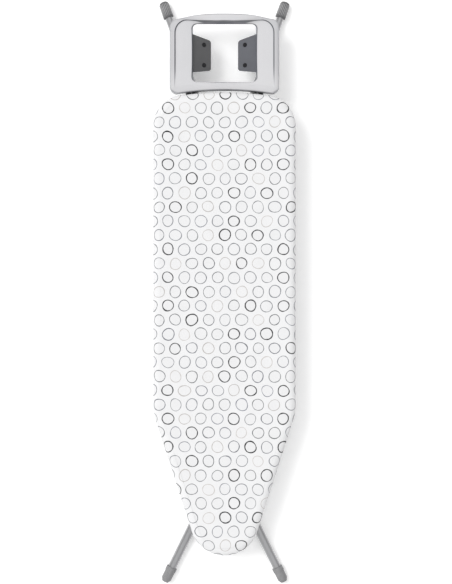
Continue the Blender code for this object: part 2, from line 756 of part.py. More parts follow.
def make_foot(name, path, tube_radius, body, material, shape=None):
    """A rubber cap pushed on the tube's end, with a rounded nose."""
    ahead = (path[-1] - path[-2]).normalized()
    tip = path[-1] + ahead * (FOOT_LENGTH - FOOT_SOCKET)
    stations = [
        (FOOT_LENGTH, FOOT_DIAMETER / 2 - 0.0008),
        (FOOT_LENGTH - 0.001, FOOT_DIAMETER / 2),
        (FOOT_NOSE, FOOT_DIAMETER / 2),
        (FOOT_NOSE * 0.3, FOOT_DIAMETER / 2 - 0.0022),
        (0.0, FOOT_DIAMETER / 2 - 0.0060),
    ]
    sides = 2 * FOOT_RIBS if shape else 16
    rings = [
        path_rings([tip - ahead * (back + 0.001), tip - ahead * back], radius, sides, shape)[1]
        for back, radius in stations
    ]
    foot = loft(name, rings, body, material)
    socket = [tip - ahead * (FOOT_LENGTH + 0.002), path[-1] + ahead * GAP]
    bore = path_rings(socket, tube_radius + GAP, ROUND_SIDES)
    return cut(foot, loft(name + "_socket", bore, body, None))


def foot_ribs(angle):
    """Fine ribs along the cap, on every second point of the ring, with one lowest."""
    count = round(angle / (2 * math.pi) * 2 * FOOT_RIBS)
    return 1.0 if count % 2 == 1 else 1.0 - FOOT_RIB_DEPTH / (FOOT_DIAMETER / 2)


def pivot_hole(name, centre, half_length, body):
    return cross_hole(name, "X", centre, PIN_HOLE_RADIUS, half_length, body)


def make_tie(name, low_y, half_width, tube_radius, body, material):
    """A steel strap under a pair of leg tubes."""
    top = -tube_radius - GAP
    low = (-half_width, low_y, top - TIE_THICKNESS)
    return box(name, low, (half_width, low_y + TIE_WIDTH, top), body, material)


def make_front_legs(body, steel, rubber):
    """The pair with its feet at the nose. Its frame is the heel axle, and it runs towards -Y."""
    half = BRACKET_X - GAP
    ends = [(-half, AXLE_TUBE_RADIUS), (half, AXLE_TUBE_RADIUS)]
    axle = turned("front_axle_tube", "X", (0, 0, 0), ends, body, steel)
    cut(axle, cross_hole("front_axle_bore", "X", (0, 0, 0), PIN_HOLE_RADIUS, 0.12, body))
    cope = AXLE_TUBE_RADIUS + GAP
    for side, word in ((-1, "left"), (1, "right")):
        path = leg_path(
            -cope, side * FRONT_TUBE_X, side * FRONT_FOOT_SPREAD, -LEG_LENGTH, FRONT_SPLAY, -1
        )
        leg = hollow_tube("front_leg_" + word, path, FRONT_TUBE_RADIUS, body, steel)
        hole_at = (side * FRONT_TUBE_X, -ARM_LENGTH, 0)
        cut(leg, pivot_hole(f"front_leg_{word}_hole", hole_at, 0.015, body))
        make_foot("front_foot_" + word, path, FRONT_TUBE_RADIUS, body, rubber)
    tie_y = FRONT_TIE_FROM_FOOT - LEG_LENGTH
    make_tie("front_leg_tie", tie_y, FRONT_TUBE_X + TIE_OVERHANG, FRONT_TUBE_RADIUS, body, steel)


def make_rear_legs(body, steel, rubber):
    """The pair with its feet at the iron rest. Its frame is the scissor pivot."""
    for side, word in ((-1, "left"), (1, "right")):
        start = -ARM_LENGTH - PIN_RADIUS - TUBE_END
        path = leg_path(
            start, side * REAR_TUBE_X, side * REAR_FOOT_SPREAD, FOOT_REACH, REAR_SPLAY, 1
        )
        leg = hollow_tube("rear_leg_" + word, path, REAR_TUBE_RADIUS, body, steel)
        for label, hole_y in (("pivot", 0.0), ("slide", -ARM_LENGTH)):
            hole_at = (side * REAR_TUBE_X, hole_y, 0)
            cut(leg, pivot_hole(f"rear_leg_{word}_{label}_hole", hole_at, 0.011, body))
        make_foot("rear_foot_" + word, path, REAR_TUBE_RADIUS, body, rubber, foot_ribs)
    tie_y = FOOT_REACH - REAR_TIE_FROM_FOOT
    make_tie("rear_leg_tie", tie_y, REAR_TUBE_X + TIE_OVERHANG, REAR_TUBE_RADIUS, body, steel)


def sleeve(name, start_x, end_x, outer, centre, body, material):
    """A plain bush, spacer or clip round a pin that lies along X."""
    stations = (
        (start_x, outer),
        (end_x, outer),
        (end_x, PIN_HOLE_RADIUS),
        (start_x, PIN_HOLE_RADIUS),
    )
    rings = [
        circle_in("X", Vector(centre) + Vector((x, 0, 0)), radius, ROUND_SIDES)
        for x, radius in stations
    ]
    return loft(name, rings, body, material, closed=True)


def make_slide_rod(body, steel, plastic):
    centre = (0, -ARM_LENGTH, 0)
    bush_start = RAIL_X - BUSH_OVERHANG
    bush_end = RAIL_X + RAIL_WALL + BUSH_OVERHANG
    clip_start = bush_end + GAP
    clip_end = clip_start + CLIP_WIDTH
    rod_end = clip_end + CLIP_WIDTH
    turned("slide_rod", "X", centre, [(-rod_end, PIN_RADIUS), (rod_end, PIN_RADIUS)], body, steel)
    for side, word in ((-1, "left"), (1, "right")):
        ends = side * bush_start, side * bush_end
        sleeve("slide_bush_" + word, *ends, BUSH_RADIUS, centre, body, plastic)
        ends = side * clip_start, side * clip_end
        sleeve("slide_clip_" + word, *ends, PIN_HOLE_RADIUS + CLIP_WALL, centre, body, steel)


def make_scissor_pivot(front, rear, steel, plastic):
    """Bolt and nut ride with the front legs, and the spacers with the rear legs."""
    centre = Vector((0, -ARM_LENGTH, 0))
    face = FRONT_TUBE_X + FRONT_TUBE_RADIUS + GAP
    head, corner = face + BOLT_HEAD_HEIGHT, BOLT_HEAD_DIAMETER / 2
    bolt = [
        (-head - PIN_RADIUS, PIN_RADIUS, None),
        (face, PIN_RADIUS, None),
        (face, corner, hexagon),
        (head, corner, hexagon),
    ]
    nut = [
        (-face, corner, hexagon),
        (-head, corner, hexagon),
        (-head, PIN_HOLE_RADIUS, None),
        (-face, PIN_HOLE_RADIUS, None),
    ]
    for name, stations, closed in (("pivot_bolt", bolt, False), ("pivot_nut", nut, True)):
        rings = [
            circle_in("X", centre + Vector((x, 0, 0)), radius, ROUND_SIDES, shape)
            for x, radius, shape in stations
        ]
        loft(name, rings, front, steel, closed)
    spacer = PIN_HOLE_RADIUS + SPACER_WALL
    reach = CENTRE_SPACER / 2 - GAP
    sleeve("pivot_spacer_centre", -reach, reach, spacer, (0, 0, 0), rear, plastic)
    inner = REAR_TUBE_X + REAR_TUBE_RADIUS + GAP
    outer = FRONT_TUBE_X - FRONT_TUBE_RADIUS - GAP
    for side, word in ((-1, "left"), (1, "right")):
        ends = side * inner, side * outer
        sleeve("pivot_spacer_" + word, *ends, spacer, (0, 0, 0), rear, plastic)


# ---------------------------------------------------------------- iron rest


def rounded_frame(corners, radius, bulges, corner_steps=4, side_steps=6):
    """A four-sided outline with round corners. bulges bow each side out, square to it.

    Corners run front left, front right, rear right, rear left, and the sides follow them:
    front, right, rear, left.
    """
    points = []
    count = len(corners)
    for i, corner in enumerate(corners):
        corner = Vector(corner)
        before = (Vector(corners[i - 1]) - corner).normalized()
        after = (Vector(corners[(i + 1) % count]) - corner).normalized()
        half = before.angle(after) / 2
        centre = corner + (before + after).normalized() * radius / math.sin(half)
        start = (corner + before * radius / math.tan(half) - centre).to_3d()
        end = (corner + after * radius / math.tan(half) - centre).to_3d()
        for k in range(corner_steps + 1):
            points.append(centre + radius * start.slerp(end, k / corner_steps).to_2d())
        following = Vector(corners[(i + 1) % count])
        side_start = points[-1]
        side_end = following - after * radius
        square = Vector((after.y, -after.x))
        for k in range(1, side_steps):
            share = k / side_steps
            bow = bulges[i] * (1 - (2 * share - 1) ** 2)
            points.append(side_start.lerp(side_end, share) + square * bow)
    return points


def tray_outline():
    half = REST_HALF_WIDTH
    corners = [(-half, REST_FRONT_Y), (half, REST_FRONT_Y), (half, REST_REAR_Y), (-half, REST_REAR_Y)]
    bulges = [-REST_FRONT_HOLLOW, 0.0, REST_REAR_BULGE, 0.0]
    return rounded_frame(corners, REST_CORNER_RADIUS, bulges)


def opening_outline():
    half = REST_OPENING_X
    low, high = REST_OPENING_Y
    corners = [(-half, low), (half, low), (half, high), (-half, high)]
    return rounded_frame(corners, REST_OPENING_RADIUS, [0.0, 0.0, 0.0, 0.0])


def fence_rise(point):
    """How much the rear edge stands up, over the middle of the rear bar."""
    if point[1] < REST_OPENING_Y[1]:
        return 0.0
    share = min(1.0, abs(point[0]) / (REST_HALF_WIDTH * 0.75))
    return REST_FENCE_HEIGHT * (1 - share * share) ** 2


def tray_ring(from_outside, from_opening, level, fence=False):
    """Points across the tray's frame: a distance in from its outside or out from its opening."""
    ring = []
    for outside, opening in zip(tray_outline(), opening_outline()):
        inwards = (opening - outside).normalized()
        if from_opening is None:
            point = outside + inwards * from_outside
        else:
            point = opening - inwards * from_opening
        rise = fence_rise(outside) if fence else 0.0
        ring.append((point.x, point.y, PIVOT_Z + level + rise))
    return ring


def make_tray(body, material):
    """A moulded frame: a raised rim, a dished ledge, and skirts down both edges."""
    wall, top = REST_WALL, REST_TOP_LEVEL
    dish = top - REST_DISH_DEPTH
    rings = [
        tray_ring(0.0, None, REST_SKIRT_LEVEL),
        tray_ring(0.0, None, top - wall, True),
        tray_ring(wall, None, top, True),
        tray_ring(REST_RIM_WIDTH, None, top, True),
        tray_ring(REST_RIM_WIDTH + wall, None, dish),
        tray_ring(0.0, wall, dish),
        tray_ring(0.0, 0.0, dish - wall),
        tray_ring(0.0, 0.0, dish - REST_INNER_SKIRT),
        tray_ring(0.0, wall, dish - REST_INNER_SKIRT),
        tray_ring(0.0, wall, dish - wall),
        tray_ring(REST_RIM_WIDTH, None, dish - wall),
        tray_ring(REST_RIM_WIDTH - wall, None, top - wall, True),
        tray_ring(2 * wall, None, top - wall, True),
        tray_ring(wall, None, top - 2 * wall, True),
        tray_ring(wall, None, REST_SKIRT_LEVEL),
    ]
    tray = loft("rest_tray", rings, body, material, closed=True)
    boss_top = PIVOT_Z + dish - wall / 2
    for side in (-1, 1):
        for i, screw_y in enumerate(SCREW_Y):
            centre = (side * REST_ROD_X, screw_y, 0)
            ends = [(PIVOT_Z + REST_SKIRT_LEVEL, BOSS_DIAMETER / 2), (boss_top, BOSS_DIAMETER / 2)]
            label = f"{'left' if side < 0 else 'right'}_{i}"
            join(tray, turned("boss_" + label, "Z", centre, ends, body, None))
            radius = SCREW_SHAFT / 2 + PIN_CLEARANCE
            hole = [(PIVOT_Z + REST_SKIRT_LEVEL - 0.002, radius), (boss_top - 0.003, radius)]
            cut(tray, turned("boss_hole_" + label, "Z", centre, hole, body, None))
    return tray


def make_pad(side, body, material, stud_material):
    """A heat-proof plate: a flat root under the tray and a blade that slopes into the opening."""
    word = "left" if side < 0 else "right"
    drop = PAD_REACH * math.tan(PAD_SLOPE)
    bend_shift = PAD_THICKNESS * math.tan(PAD_SLOPE / 2)
    root_x, tip_x = REST_OPENING_X + PAD_ROOT_WIDTH, REST_OPENING_X - PAD_REACH
    corner = PAD_CORNER
    tip_low, tip_high = PAD_TIP_Y
    stations = [
        (root_x, PAD_ROOT_Y, PAD_LEVEL, 0.0),
        (REST_OPENING_X, PAD_ROOT_Y, PAD_LEVEL, bend_shift),
        (tip_x + corner, PAD_TIP_Y, PAD_LEVEL - drop + corner * math.tan(PAD_SLOPE), bend_shift),
        (tip_x, (tip_low + corner, tip_high - corner), PAD_LEVEL - drop, bend_shift),
    ]
    rings = []
    for x, (low_y, high_y), level, shift in stations:
        under = side * (x + shift)
        rings.append(
            [
                (side * x, low_y, level),
                (side * x, high_y, level),
                (under, high_y, level - PAD_THICKNESS),
                (under, low_y, level - PAD_THICKNESS),
            ]
        )
    pad = loft("rest_pad_" + word, rings, body, material)
    shaft, head = STUD_DIAMETER / 2, STUD_HEAD_DIAMETER / 2
    past = PAD_THICKNESS + STUD_HEAD_HEIGHT
    for i, stud_y in enumerate(PAD_STUD_Y):
        hole = [(-past - 0.001, shaft + PIN_CLEARANCE), (0.003, shaft + PIN_CLEARANCE)]
        cut(pad, stud_shape(f"pad_hole_{word}_{i}", side, stud_y, hole, body, None))
        stud = [
            (-past, shaft),
            (GAP, shaft),
            (GAP, head),
            (GAP + STUD_HEAD_HEIGHT * 0.7, head * 0.85),
            (GAP + STUD_HEAD_HEIGHT, head * 0.5),
        ]
        stud_shape(f"pad_stud_{word}_{i + 1}", side, stud_y, stud, body, stud_material)
    return pad


def stud_shape(name, side, stud_y, profile, body, material):
    """A lathe shape square to the pad's sloping blade. profile is as for turned()."""
    level = PAD_LEVEL - (REST_OPENING_X - PAD_STUD_X) * math.tan(PAD_SLOPE)
    up = Vector((-side * math.sin(PAD_SLOPE), 0, math.cos(PAD_SLOPE)))
    across = Vector((math.cos(PAD_SLOPE), 0, side * math.sin(PAD_SLOPE)))
    centre = Vector((side * PAD_STUD_X, stud_y, level))
    rings = []
    for distance, radius in profile:
        ring = []
        for k in range(ROUND_SIDES):
            angle = 2 * math.pi * k / ROUND_SIDES
            offset = across * math.cos(angle) + Vector((0, math.sin(angle), 0))
            ring.append(centre + up * distance + offset * radius)
        rings.append(ring)
    return loft(name, rings, body, material)


def make_rest_rod(side, body, steel):
    word = "left" if side < 0 else "right"
    inner_y, outer_y = REST_ROD_Y
    profile = [
        (inner_y, PIN_RADIUS + ROD_COLLAR_RISE),
        (inner_y + ROD_COLLAR_LENGTH, PIN_RADIUS + ROD_COLLAR_RISE),
        (inner_y + ROD_COLLAR_LENGTH, PIN_RADIUS),
        (outer_y, PIN_RADIUS),
    ]
    level = PIVOT_Z + REST_ROD_LEVEL
    centre = (side * REST_ROD_X, 0, level)
    rod = turned("rest_rod_" + word, "Y", centre, profile, body, steel)
    for i, screw_y in enumerate(SCREW_Y):
        at = (side * REST_ROD_X, screw_y, level)
        radius = SCREW_SHAFT / 2 + PIN_CLEARANCE
        cut(rod, cross_hole(f"rod_hole_{word}_{i}", "Z", at, radius, 0.008, body))
        head_top = level - PIN_RADIUS - GAP
        shaft_top = PIVOT_Z + REST_SKIRT_LEVEL + 0.008
        screw = [
            (head_top - SCREW_HEAD_HEIGHT, SCREW_HEAD / 2 * 0.6),
            (head_top - SCREW_HEAD_HEIGHT * 0.6, SCREW_HEAD / 2),
            (head_top, SCREW_HEAD / 2),
            (head_top, SCREW_SHAFT / 2),
            (shaft_top, SCREW_SHAFT / 2),
        ]
        name = f"rest_screw_{word}_{i + 1}"
        turned(name, "Z", (side * REST_ROD_X, screw_y, 0), screw, body, steel)
    return rod


def hem_y(x):
    """The inner edge of the cover's hem at the heel, this far from the middle."""
    past_corner = max(0.0, x - (BOARD_WIDTH / 2 - HEEL_CORNER_RADIUS))
    radius = HEEL_CORNER_RADIUS - HEM_WIDTH
    return HEEL_Y - HEEL_CORNER_RADIUS + math.sqrt(radius**2 - past_corner**2)


def make_guide(side, body, plastic, steel):
    """A plastic block under the heel plate, which a rod of the iron rest slides in.

    Past its fixing pad the block is open on top, so that the tray passes over the rod.
    """
    word = "left" if side < 0 else "right"
    low, step = PIVOT_Z + GUIDE_BOTTOM_LEVEL, PIVOT_Z + REST_SKIRT_LEVEL - GAP
    top = PIVOT_Z + RAIL_TOP
    start, end = GUIDE_START_Y, GUIDE_END_Y
    near, far = REST_ROD_X - GUIDE_WIDTH / 2, REST_ROD_X + GUIDE_WIDTH / 2
    pad_end = hem_y(far) - GUIDE_TO_HEM
    profile = [
        (start, low),
        (end, low),
        (end, step),
        (pad_end, step),
        (pad_end, top),
        (start, top),
    ]
    guide = prism("rest_guide_" + word, profile, side * near, side * far, "X", body, plastic)
    centre = (side * REST_ROD_X, (start + end) / 2, PIVOT_Z + REST_ROD_LEVEL)
    cut(guide, cross_hole("guide_bore_" + word, "Y", centre, PIN_HOLE_RADIUS, 0.06, body))
    slot_half = PIN_RADIUS * 0.8
    slot_low = (side * REST_ROD_X - slot_half, pad_end + GUIDE_WALL, centre[2])
    slot_high = (side * REST_ROD_X + slot_half, end + 0.001, step + 0.001)
    cut(guide, box("guide_slot_" + word, slot_low, slot_high, body, None))
    screw_x = side * (REST_ROD_X + GUIDE_SCREW_OFFSET)
    screw_y = (start + pad_end) / 2
    radius, head = GUIDE_SCREW_SHAFT / 2, GUIDE_SCREW_HEAD / 2
    at = (screw_x, screw_y, low)
    hole = cross_hole("guide_screw_hole_" + word, "Z", at, radius + GAP, 0.03, body)
    cut(guide, hole)
    screw = [
        (low - GAP - GUIDE_SCREW_HEAD_HEIGHT, head * 0.65),
        (low - GAP - GUIDE_SCREW_HEAD_HEIGHT / 2, head),
        (low - GAP, head),
        (low - GAP, radius),
        (PIVOT_Z + BAR_BOTTOM + BAR_WALL + 0.003, radius),
    ]
    turned("guide_screw_" + word, "Z", (screw_x, screw_y, 0), screw, body, steel)
    return hole


# ---------------------------------------------------------------- assembly


def main():
    clear_scene()
    cotton = make_material("cotton", (0.90, 0.90, 0.90), 0.85)
    felt = make_material("felt", (0.78, 0.78, 0.76), 0.95)
    enamel = make_material("grey_enamel", (0.52, 0.53, 0.54), 0.35, 0.6)
    zinc = make_material("zinc", (0.62, 0.62, 0.63), 0.35, 1.0)
    silver = make_material("silver_plastic", (0.80, 0.80, 0.82), 0.35)
    black = make_material("black_plastic", (0.03, 0.03, 0.03), 0.45)
    graphite = make_material("graphite_silicone", (0.13, 0.13, 0.14), 0.6)
    rubber = make_material("grey_rubber", (0.28, 0.28, 0.29), 0.7)

    board = make_empty("board_frame", (0, 0, 0))
    front = make_empty("front_legs_frame", (0, AXLE_Y, PIVOT_Z), FOLDED_ANGLE)
    rear = make_empty("rear_legs_frame", (0, 0, SCISSOR_Z), -FOLDED_ANGLE)
    catch = make_empty("catch_frame", (0, 0, 0))
    rest = make_empty("iron_rest_frame", (0, 0, 0))

    make_cover(board, cotton)
    make_foam(board, felt)
    make_sheet(board, enamel)
    make_rim(board, enamel)
    heel_plate = make_crossbar("heel_plate", *HEEL_PLATE_Y, board, enamel)
    bars = (
        ("crossbar_middle", MID_BAR_Y),
        ("crossbar_rack_nose", RACK_BAR_Y[0]),
        ("crossbar_rack_heel", RACK_BAR_Y[1]),
    )
    for name, centre_y in bars:
        make_crossbar(name, centre_y - BAR_WIDTH / 2, centre_y + BAR_WIDTH / 2, board, enamel)
    for side in (-1, 1):
        make_axle_bracket(side, board, enamel)
        make_rail(side, board, enamel)
        cut(heel_plate, make_guide(side, board, black, zinc))
    make_axle(board, zinc, black)
    make_hinge_rod(board, zinc)
    make_spring(board, zinc)

    make_front_legs(front, enamel, rubber)
    make_rear_legs(rear, enamel, rubber)
    make_slide_rod(rear, zinc, black)
    make_scissor_pivot(front, rear, zinc, black)

    make_catch(catch, zinc)
    make_lever(catch, zinc, black)

    make_tray(rest, silver)
    for side in (-1, 1):
        make_pad(side, rest, graphite, black)
        make_rest_rod(side, rest, zinc)


main()
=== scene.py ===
import math
import random

import bmesh
import bpy
from mathutils import Matrix, Vector, geometry


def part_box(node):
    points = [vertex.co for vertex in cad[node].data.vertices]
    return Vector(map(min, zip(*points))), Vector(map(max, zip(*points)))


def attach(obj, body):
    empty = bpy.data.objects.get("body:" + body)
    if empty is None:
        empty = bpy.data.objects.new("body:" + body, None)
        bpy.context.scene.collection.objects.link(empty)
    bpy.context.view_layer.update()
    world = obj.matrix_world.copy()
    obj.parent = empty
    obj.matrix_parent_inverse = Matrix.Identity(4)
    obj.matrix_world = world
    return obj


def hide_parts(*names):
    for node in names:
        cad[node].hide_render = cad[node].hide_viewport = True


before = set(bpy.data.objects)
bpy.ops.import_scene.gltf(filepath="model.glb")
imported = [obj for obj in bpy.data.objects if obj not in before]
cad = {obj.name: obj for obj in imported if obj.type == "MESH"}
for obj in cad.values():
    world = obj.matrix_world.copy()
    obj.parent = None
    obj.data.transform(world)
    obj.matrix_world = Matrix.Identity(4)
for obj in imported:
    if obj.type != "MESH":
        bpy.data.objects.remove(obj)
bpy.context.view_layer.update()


# ---------------------------------------------------------------- studio
# Glowing white paper seen from straight above, under one large soft lamp, a weak
# second one, and a dome that darkens towards the horizon, the heel and the lever.

LOOK_AT, CAMERA_HEIGHT, CAMERA_LENS = (0.0036, 0.0, 0.093), 3.5, 90.7
PAPER_SIDE, PAPER_GLOW = 40.0, 0.18
SKY_TOP, SKY_SIDE, SKY_LEAST, SKY_LEAN = 0.91, 0.25, 0.08, 0.20
SKY_BAND = (0.10, 0.80)


def link(obj):
    bpy.context.scene.collection.objects.link(obj)
    return obj


def add_node(tree, kind, inputs=None, **settings):
    """A node with its settings, and its inputs as numbers or as other nodes' outputs."""
    made = tree.nodes.new(kind)
    for key, value in settings.items():
        setattr(made, key, value)
    for key, value in (inputs or {}).items():
        if isinstance(value, bpy.types.NodeSocket):
            tree.links.new(value, made.inputs[key])
        else:
            made.inputs[key].default_value = value
    return made


def maths(tree, operation, *values):
    return add_node(tree, "ShaderNodeMath", dict(enumerate(values)), operation=operation).outputs[0]


def wire(tree, kind, inputs=None, **settings):
    """A new node's first output."""
    return add_node(tree, kind, inputs, **settings).outputs[0]


def new_finish(name, colour, roughness, metallic=0.0, **sockets):
    """A material and its node tree, ready for a pattern."""
    made = bpy.data.materials.new(name)
    made.use_nodes = True
    values = {"Base Color": (*colour, 1), "Roughness": roughness, "Metallic": metallic}
    values |= {key.replace("_", " "): value for key, value in sockets.items()}
    for key, value in values.items():
        made.node_tree.nodes["Principled BSDF"].inputs[key].default_value = value
    return made, made.node_tree


def set_studio():
    camera = bpy.data.cameras.new("camera")
    camera.lens = CAMERA_LENS
    eye = link(bpy.data.objects.new("camera", camera))
    eye.location = (*LOOK_AT[:2], LOOK_AT[2] + CAMERA_HEIGHT)
    bpy.context.scene.camera = eye

    floor_mesh = bpy.data.meshes.new("floor")
    square = [(-1, -1), (1, -1), (1, 1), (-1, 1)]
    floor_mesh.from_pydata(
        [(x * PAPER_SIDE, y * PAPER_SIDE, 0) for x, y in square], [], [(0, 1, 2, 3)]
    )
    paper, _ = new_finish("floor_paper", (0.97, 0.97, 0.97), 0.9, Specular_IOR_Level=0.1)
    glow = paper.node_tree.nodes["Principled BSDF"].inputs
    glow["Emission Color"].default_value = (1.0, 1.0, 1.0, 1)
    glow["Emission Strength"].default_value = PAPER_GLOW
    floor_mesh.materials.append(paper)
    link(bpy.data.objects.new("floor", floor_mesh))

    world = bpy.data.worlds.new("dome")
    world.use_nodes = True
    tree = world.node_tree
    direction = add_node(tree, "ShaderNodeTexCoord").outputs["Generated"]
    way = add_node(tree, "ShaderNodeSeparateXYZ", {0: direction}).outputs
    nose_side = {"Value": way["Y"], 1: -0.45, 2: 0.45, 3: SKY_LEAN, 4: -SKY_LEAN}
    side = wire(tree, "ShaderNodeMapRange", nose_side)
    side = maths(tree, "SUBTRACT", side, maths(tree, "MULTIPLY", way["X"], SKY_LEAN))
    side = maths(tree, "MAXIMUM", maths(tree, "ADD", side, SKY_SIDE), SKY_LEAST)
    rise = {"Value": way["Z"], 1: SKY_BAND[0], 2: SKY_BAND[1], 3: side, 4: SKY_TOP}
    level = wire(tree, "ShaderNodeMapRange", rise, interpolation_type="SMOOTHSTEP")
    tree.nodes["Background"].inputs["Color"].default_value = (1.0, 1.0, 1.0, 1)
    tree.links.new(level, tree.nodes["Background"].inputs["Strength"])
    bpy.context.scene.world = world

    for name, way, soft, power in (
        ("key", (-0.85, 0.50, 1.28), 30.0, 1.46), ("fill", (0.3, 0.8, 1.6), 60.0, 0.20)
    ):
        lamp = bpy.data.lights.new(name, "SUN")
        lamp.angle = math.radians(soft)
        lamp.energy = power
        shown = link(bpy.data.objects.new(name, lamp))
        shown.visible_glossy = name == "fill"
        shown.location = Vector(LOOK_AT) + Vector(way)
        shown.rotation_euler = Vector(way).to_track_quat("Z", "Y").to_euler()
    bpy.context.scene.view_settings.view_transform = "Standard"


set_studio()


# ---------------------------------------------------------------- rim and crossbars
# The frame of the top: a half-round steel channel bent round the outline, and
# five folded steel bars across it, spot welded to the rim and powder painted.

PAINT_GREY = (0.40, 0.41, 0.425)
WELD_BUTTON = 0.0048


def noise(tree, scale, detail=3.0, stretch=(1, 1, 1), seed=0.0, spot=None, result=0):
    """Cloudy noise in metres on the piece itself, stretched along some axes."""
    if spot is None:
        spot = add_node(tree, "ShaderNodeTexCoord").outputs["Object"]
    shift = (seed, seed * 0.7, seed * 1.3)
    placed = wire(tree, "ShaderNodeMapping", {"Vector": spot, "Scale": stretch, "Location": shift})
    values = {"Vector": placed, "Scale": scale, "Detail": detail}
    return add_node(tree, "ShaderNodeTexNoise", values).outputs[result]


def between(tree, factor, low, high, start=0.0, end=1.0, smooth=False):
    """A number that goes from low to high as factor goes from start to end."""
    values = {"Value": factor, 1: start, 2: end, 3: low, 4: high}
    steps = "SMOOTHSTEP" if smooth else "LINEAR"
    return wire(tree, "ShaderNodeMapRange", values, interpolation_type=steps)


def blend_colours(tree, factor, first, second):
    """One colour over another. Each is a colour or another node's output."""
    mix = add_node(tree, "ShaderNodeMix", {"Factor": factor}, data_type="RGBA")
    for socket, value in ((mix.inputs[6], first), (mix.inputs[7], second)):
        if isinstance(value, bpy.types.NodeSocket):
            tree.links.new(value, socket)
        else:
            socket.default_value = (*value, 1)
    return mix.outputs[2]


def shaded(colour, share):
    return tuple(min(1, c * share) for c in colour)


def dressed(made, tone, rough, height, depth, strength):
    """Gives a material its colour, maybe its roughness, and its relief."""
    tree = made.node_tree
    values = {"Height": height, "Distance": depth, "Strength": strength}
    bump = wire(tree, "ShaderNodeBump", values)
    for socket, value in (("Base Color", tone), ("Roughness", rough), ("Normal", bump)):
        if value is not None:
            tree.links.new(value, tree.nodes["Principled BSDF"].inputs[socket])
    return made


def painted_steel(name, colour, roughness, metallic):
    """Powder paint: a fine orange peel, faint scuffs, and a faint cloudy tone."""
    made, tree = new_finish(name, colour, roughness, metallic, Coat_Weight=0.15)
    peel = noise(tree, 900, 2)
    worn = between(tree, noise(tree, 42, 6, seed=3), 0.0, 1.0, 0.60, 0.74, True)
    cloud = between(tree, noise(tree, 14, 3, seed=7), 0, 1, 0.3, 0.7)
    tone = blend_colours(tree, cloud, shaded(colour, 0.93), shaded(colour, 1.06))
    tone = blend_colours(tree, maths(tree, "MULTIPLY", worn, 0.25), tone, (0.30, 0.30, 0.30))
    rough = maths(tree, "ADD", roughness, maths(tree, "MULTIPLY", worn, 0.14))
    return dressed(made, tone, rough, peel, 0.00005, 0.6)


def new_tree(name, inputs):
    """An empty Geometry Nodes tree with its named inputs, and its group input and output."""
    tree = bpy.data.node_groups.new(name, "GeometryNodeTree")
    face = tree.interface
    face.new_socket("Geometry", in_out="INPUT", socket_type="NodeSocketGeometry")
    for label, kind in inputs.items():
        face.new_socket(label, in_out="INPUT", socket_type="NodeSocket" + kind)
    face.new_socket("Geometry", in_out="OUTPUT", socket_type="NodeSocketGeometry")
    source = tree.nodes.new("NodeGroupInput").outputs
    result = tree.nodes.new("NodeGroupOutput").inputs[0]
    return tree, source, result


def finish_tree(tree, source, result, shape):
    """Ends a tree in Realize Instances and Set Material."""
    real = wire(tree, "GeometryNodeRealizeInstances", {"Geometry": shape})
    real = wire(tree, "GeometryNodeSetMaterial", {"Geometry": real, "Material": source["Finish"]})
    tree.links.new(real, result)
    return tree


def grow(name, tree, mesh, values):
    """Runs a tree on a mesh and returns what it made, as a plain piece."""
    carrier = link(bpy.data.objects.new(name + "_source", mesh))
    modifier = carrier.modifiers.new("grow", "NODES")
    modifier.node_group = tree
    for item in tree.interface.items_tree:
        if item.in_out == "INPUT" and item.name in values:
            modifier[item.identifier] = values[item.name]
    graph = bpy.context.evaluated_depsgraph_get()
    made = bpy.data.meshes.new_from_object(carrier.evaluated_get(graph))
    bpy.data.objects.remove(carrier)
    return link(bpy.data.objects.new(name, made))


def set_at_tree():
    """A small part at each point, standing along the point's own outward direction."""
    inputs = {"Part": "Object", "Size": "Float", "Finish": "Material", "Seed": "Int"}
    tree, source, result = new_tree("set_at_points", inputs)
    outward = wire(
        tree, "GeometryNodeInputNamedAttribute", {"Name": "outward"}, data_type="FLOAT_VECTOR"
    )
    part = add_node(tree, "GeometryNodeObjectInfo", {"Object": source["Part"]}).outputs["Geometry"]
    turn = add_node(
        tree,
        "FunctionNodeRandomValue",
        {"Min": 0.0, "Max": 6.283, "Seed": source["Seed"]},
        data_type="FLOAT",
    )
    spin = wire(tree, "ShaderNodeCombineXYZ", {"Z": next(o for o in turn.outputs if o.enabled)})
    upright = wire(tree, "FunctionNodeAlignRotationToVector", {"Vector": outward}, axis="Z")
    turned = wire(
        tree,
        "FunctionNodeRotateRotation",
        {"Rotation": upright, "Rotate By": spin},
        rotation_space="LOCAL",
    )
    points = wire(tree, "GeometryNodeMeshToPoints", {"Mesh": source["Geometry"]})
    placed = wire(
        tree,
        "GeometryNodeInstanceOnPoints",
        {"Points": points, "Instance": part, "Rotation": turned, "Scale": source["Size"]},
    )
    return finish_tree(tree, source, result, placed)


SET_AT = set_at_tree()


def turned_out(mesh, merge=0.0):
    """Joins doubled points, turns the faces outwards and smooths them."""
    work = bmesh.new()
    work.from_mesh(mesh)
    if merge:
        bmesh.ops.remove_doubles(work, verts=work.verts, dist=merge)
    bmesh.ops.recalc_face_normals(work, faces=work.faces)
    work.to_mesh(mesh)
    work.free()
    mesh.shade_smooth()


def make_mesh(name, points, faces, sharp=35):
    """A mesh with its faces turned outwards, smooth but for its sharp edges."""
    mesh = bpy.data.meshes.new(name)
    mesh.from_pydata([tuple(p) for p in points], [], faces)
    turned_out(mesh, 1e-7)
    mesh.set_sharp_from_angle(angle=math.radians(sharp))
    return mesh


def circle(sides):
    """The cosine and sine of each even step round a circle."""
    turns = [math.tau * k / sides for k in range(sides)]
    return [(math.cos(turn), math.sin(turn)) for turn in turns]


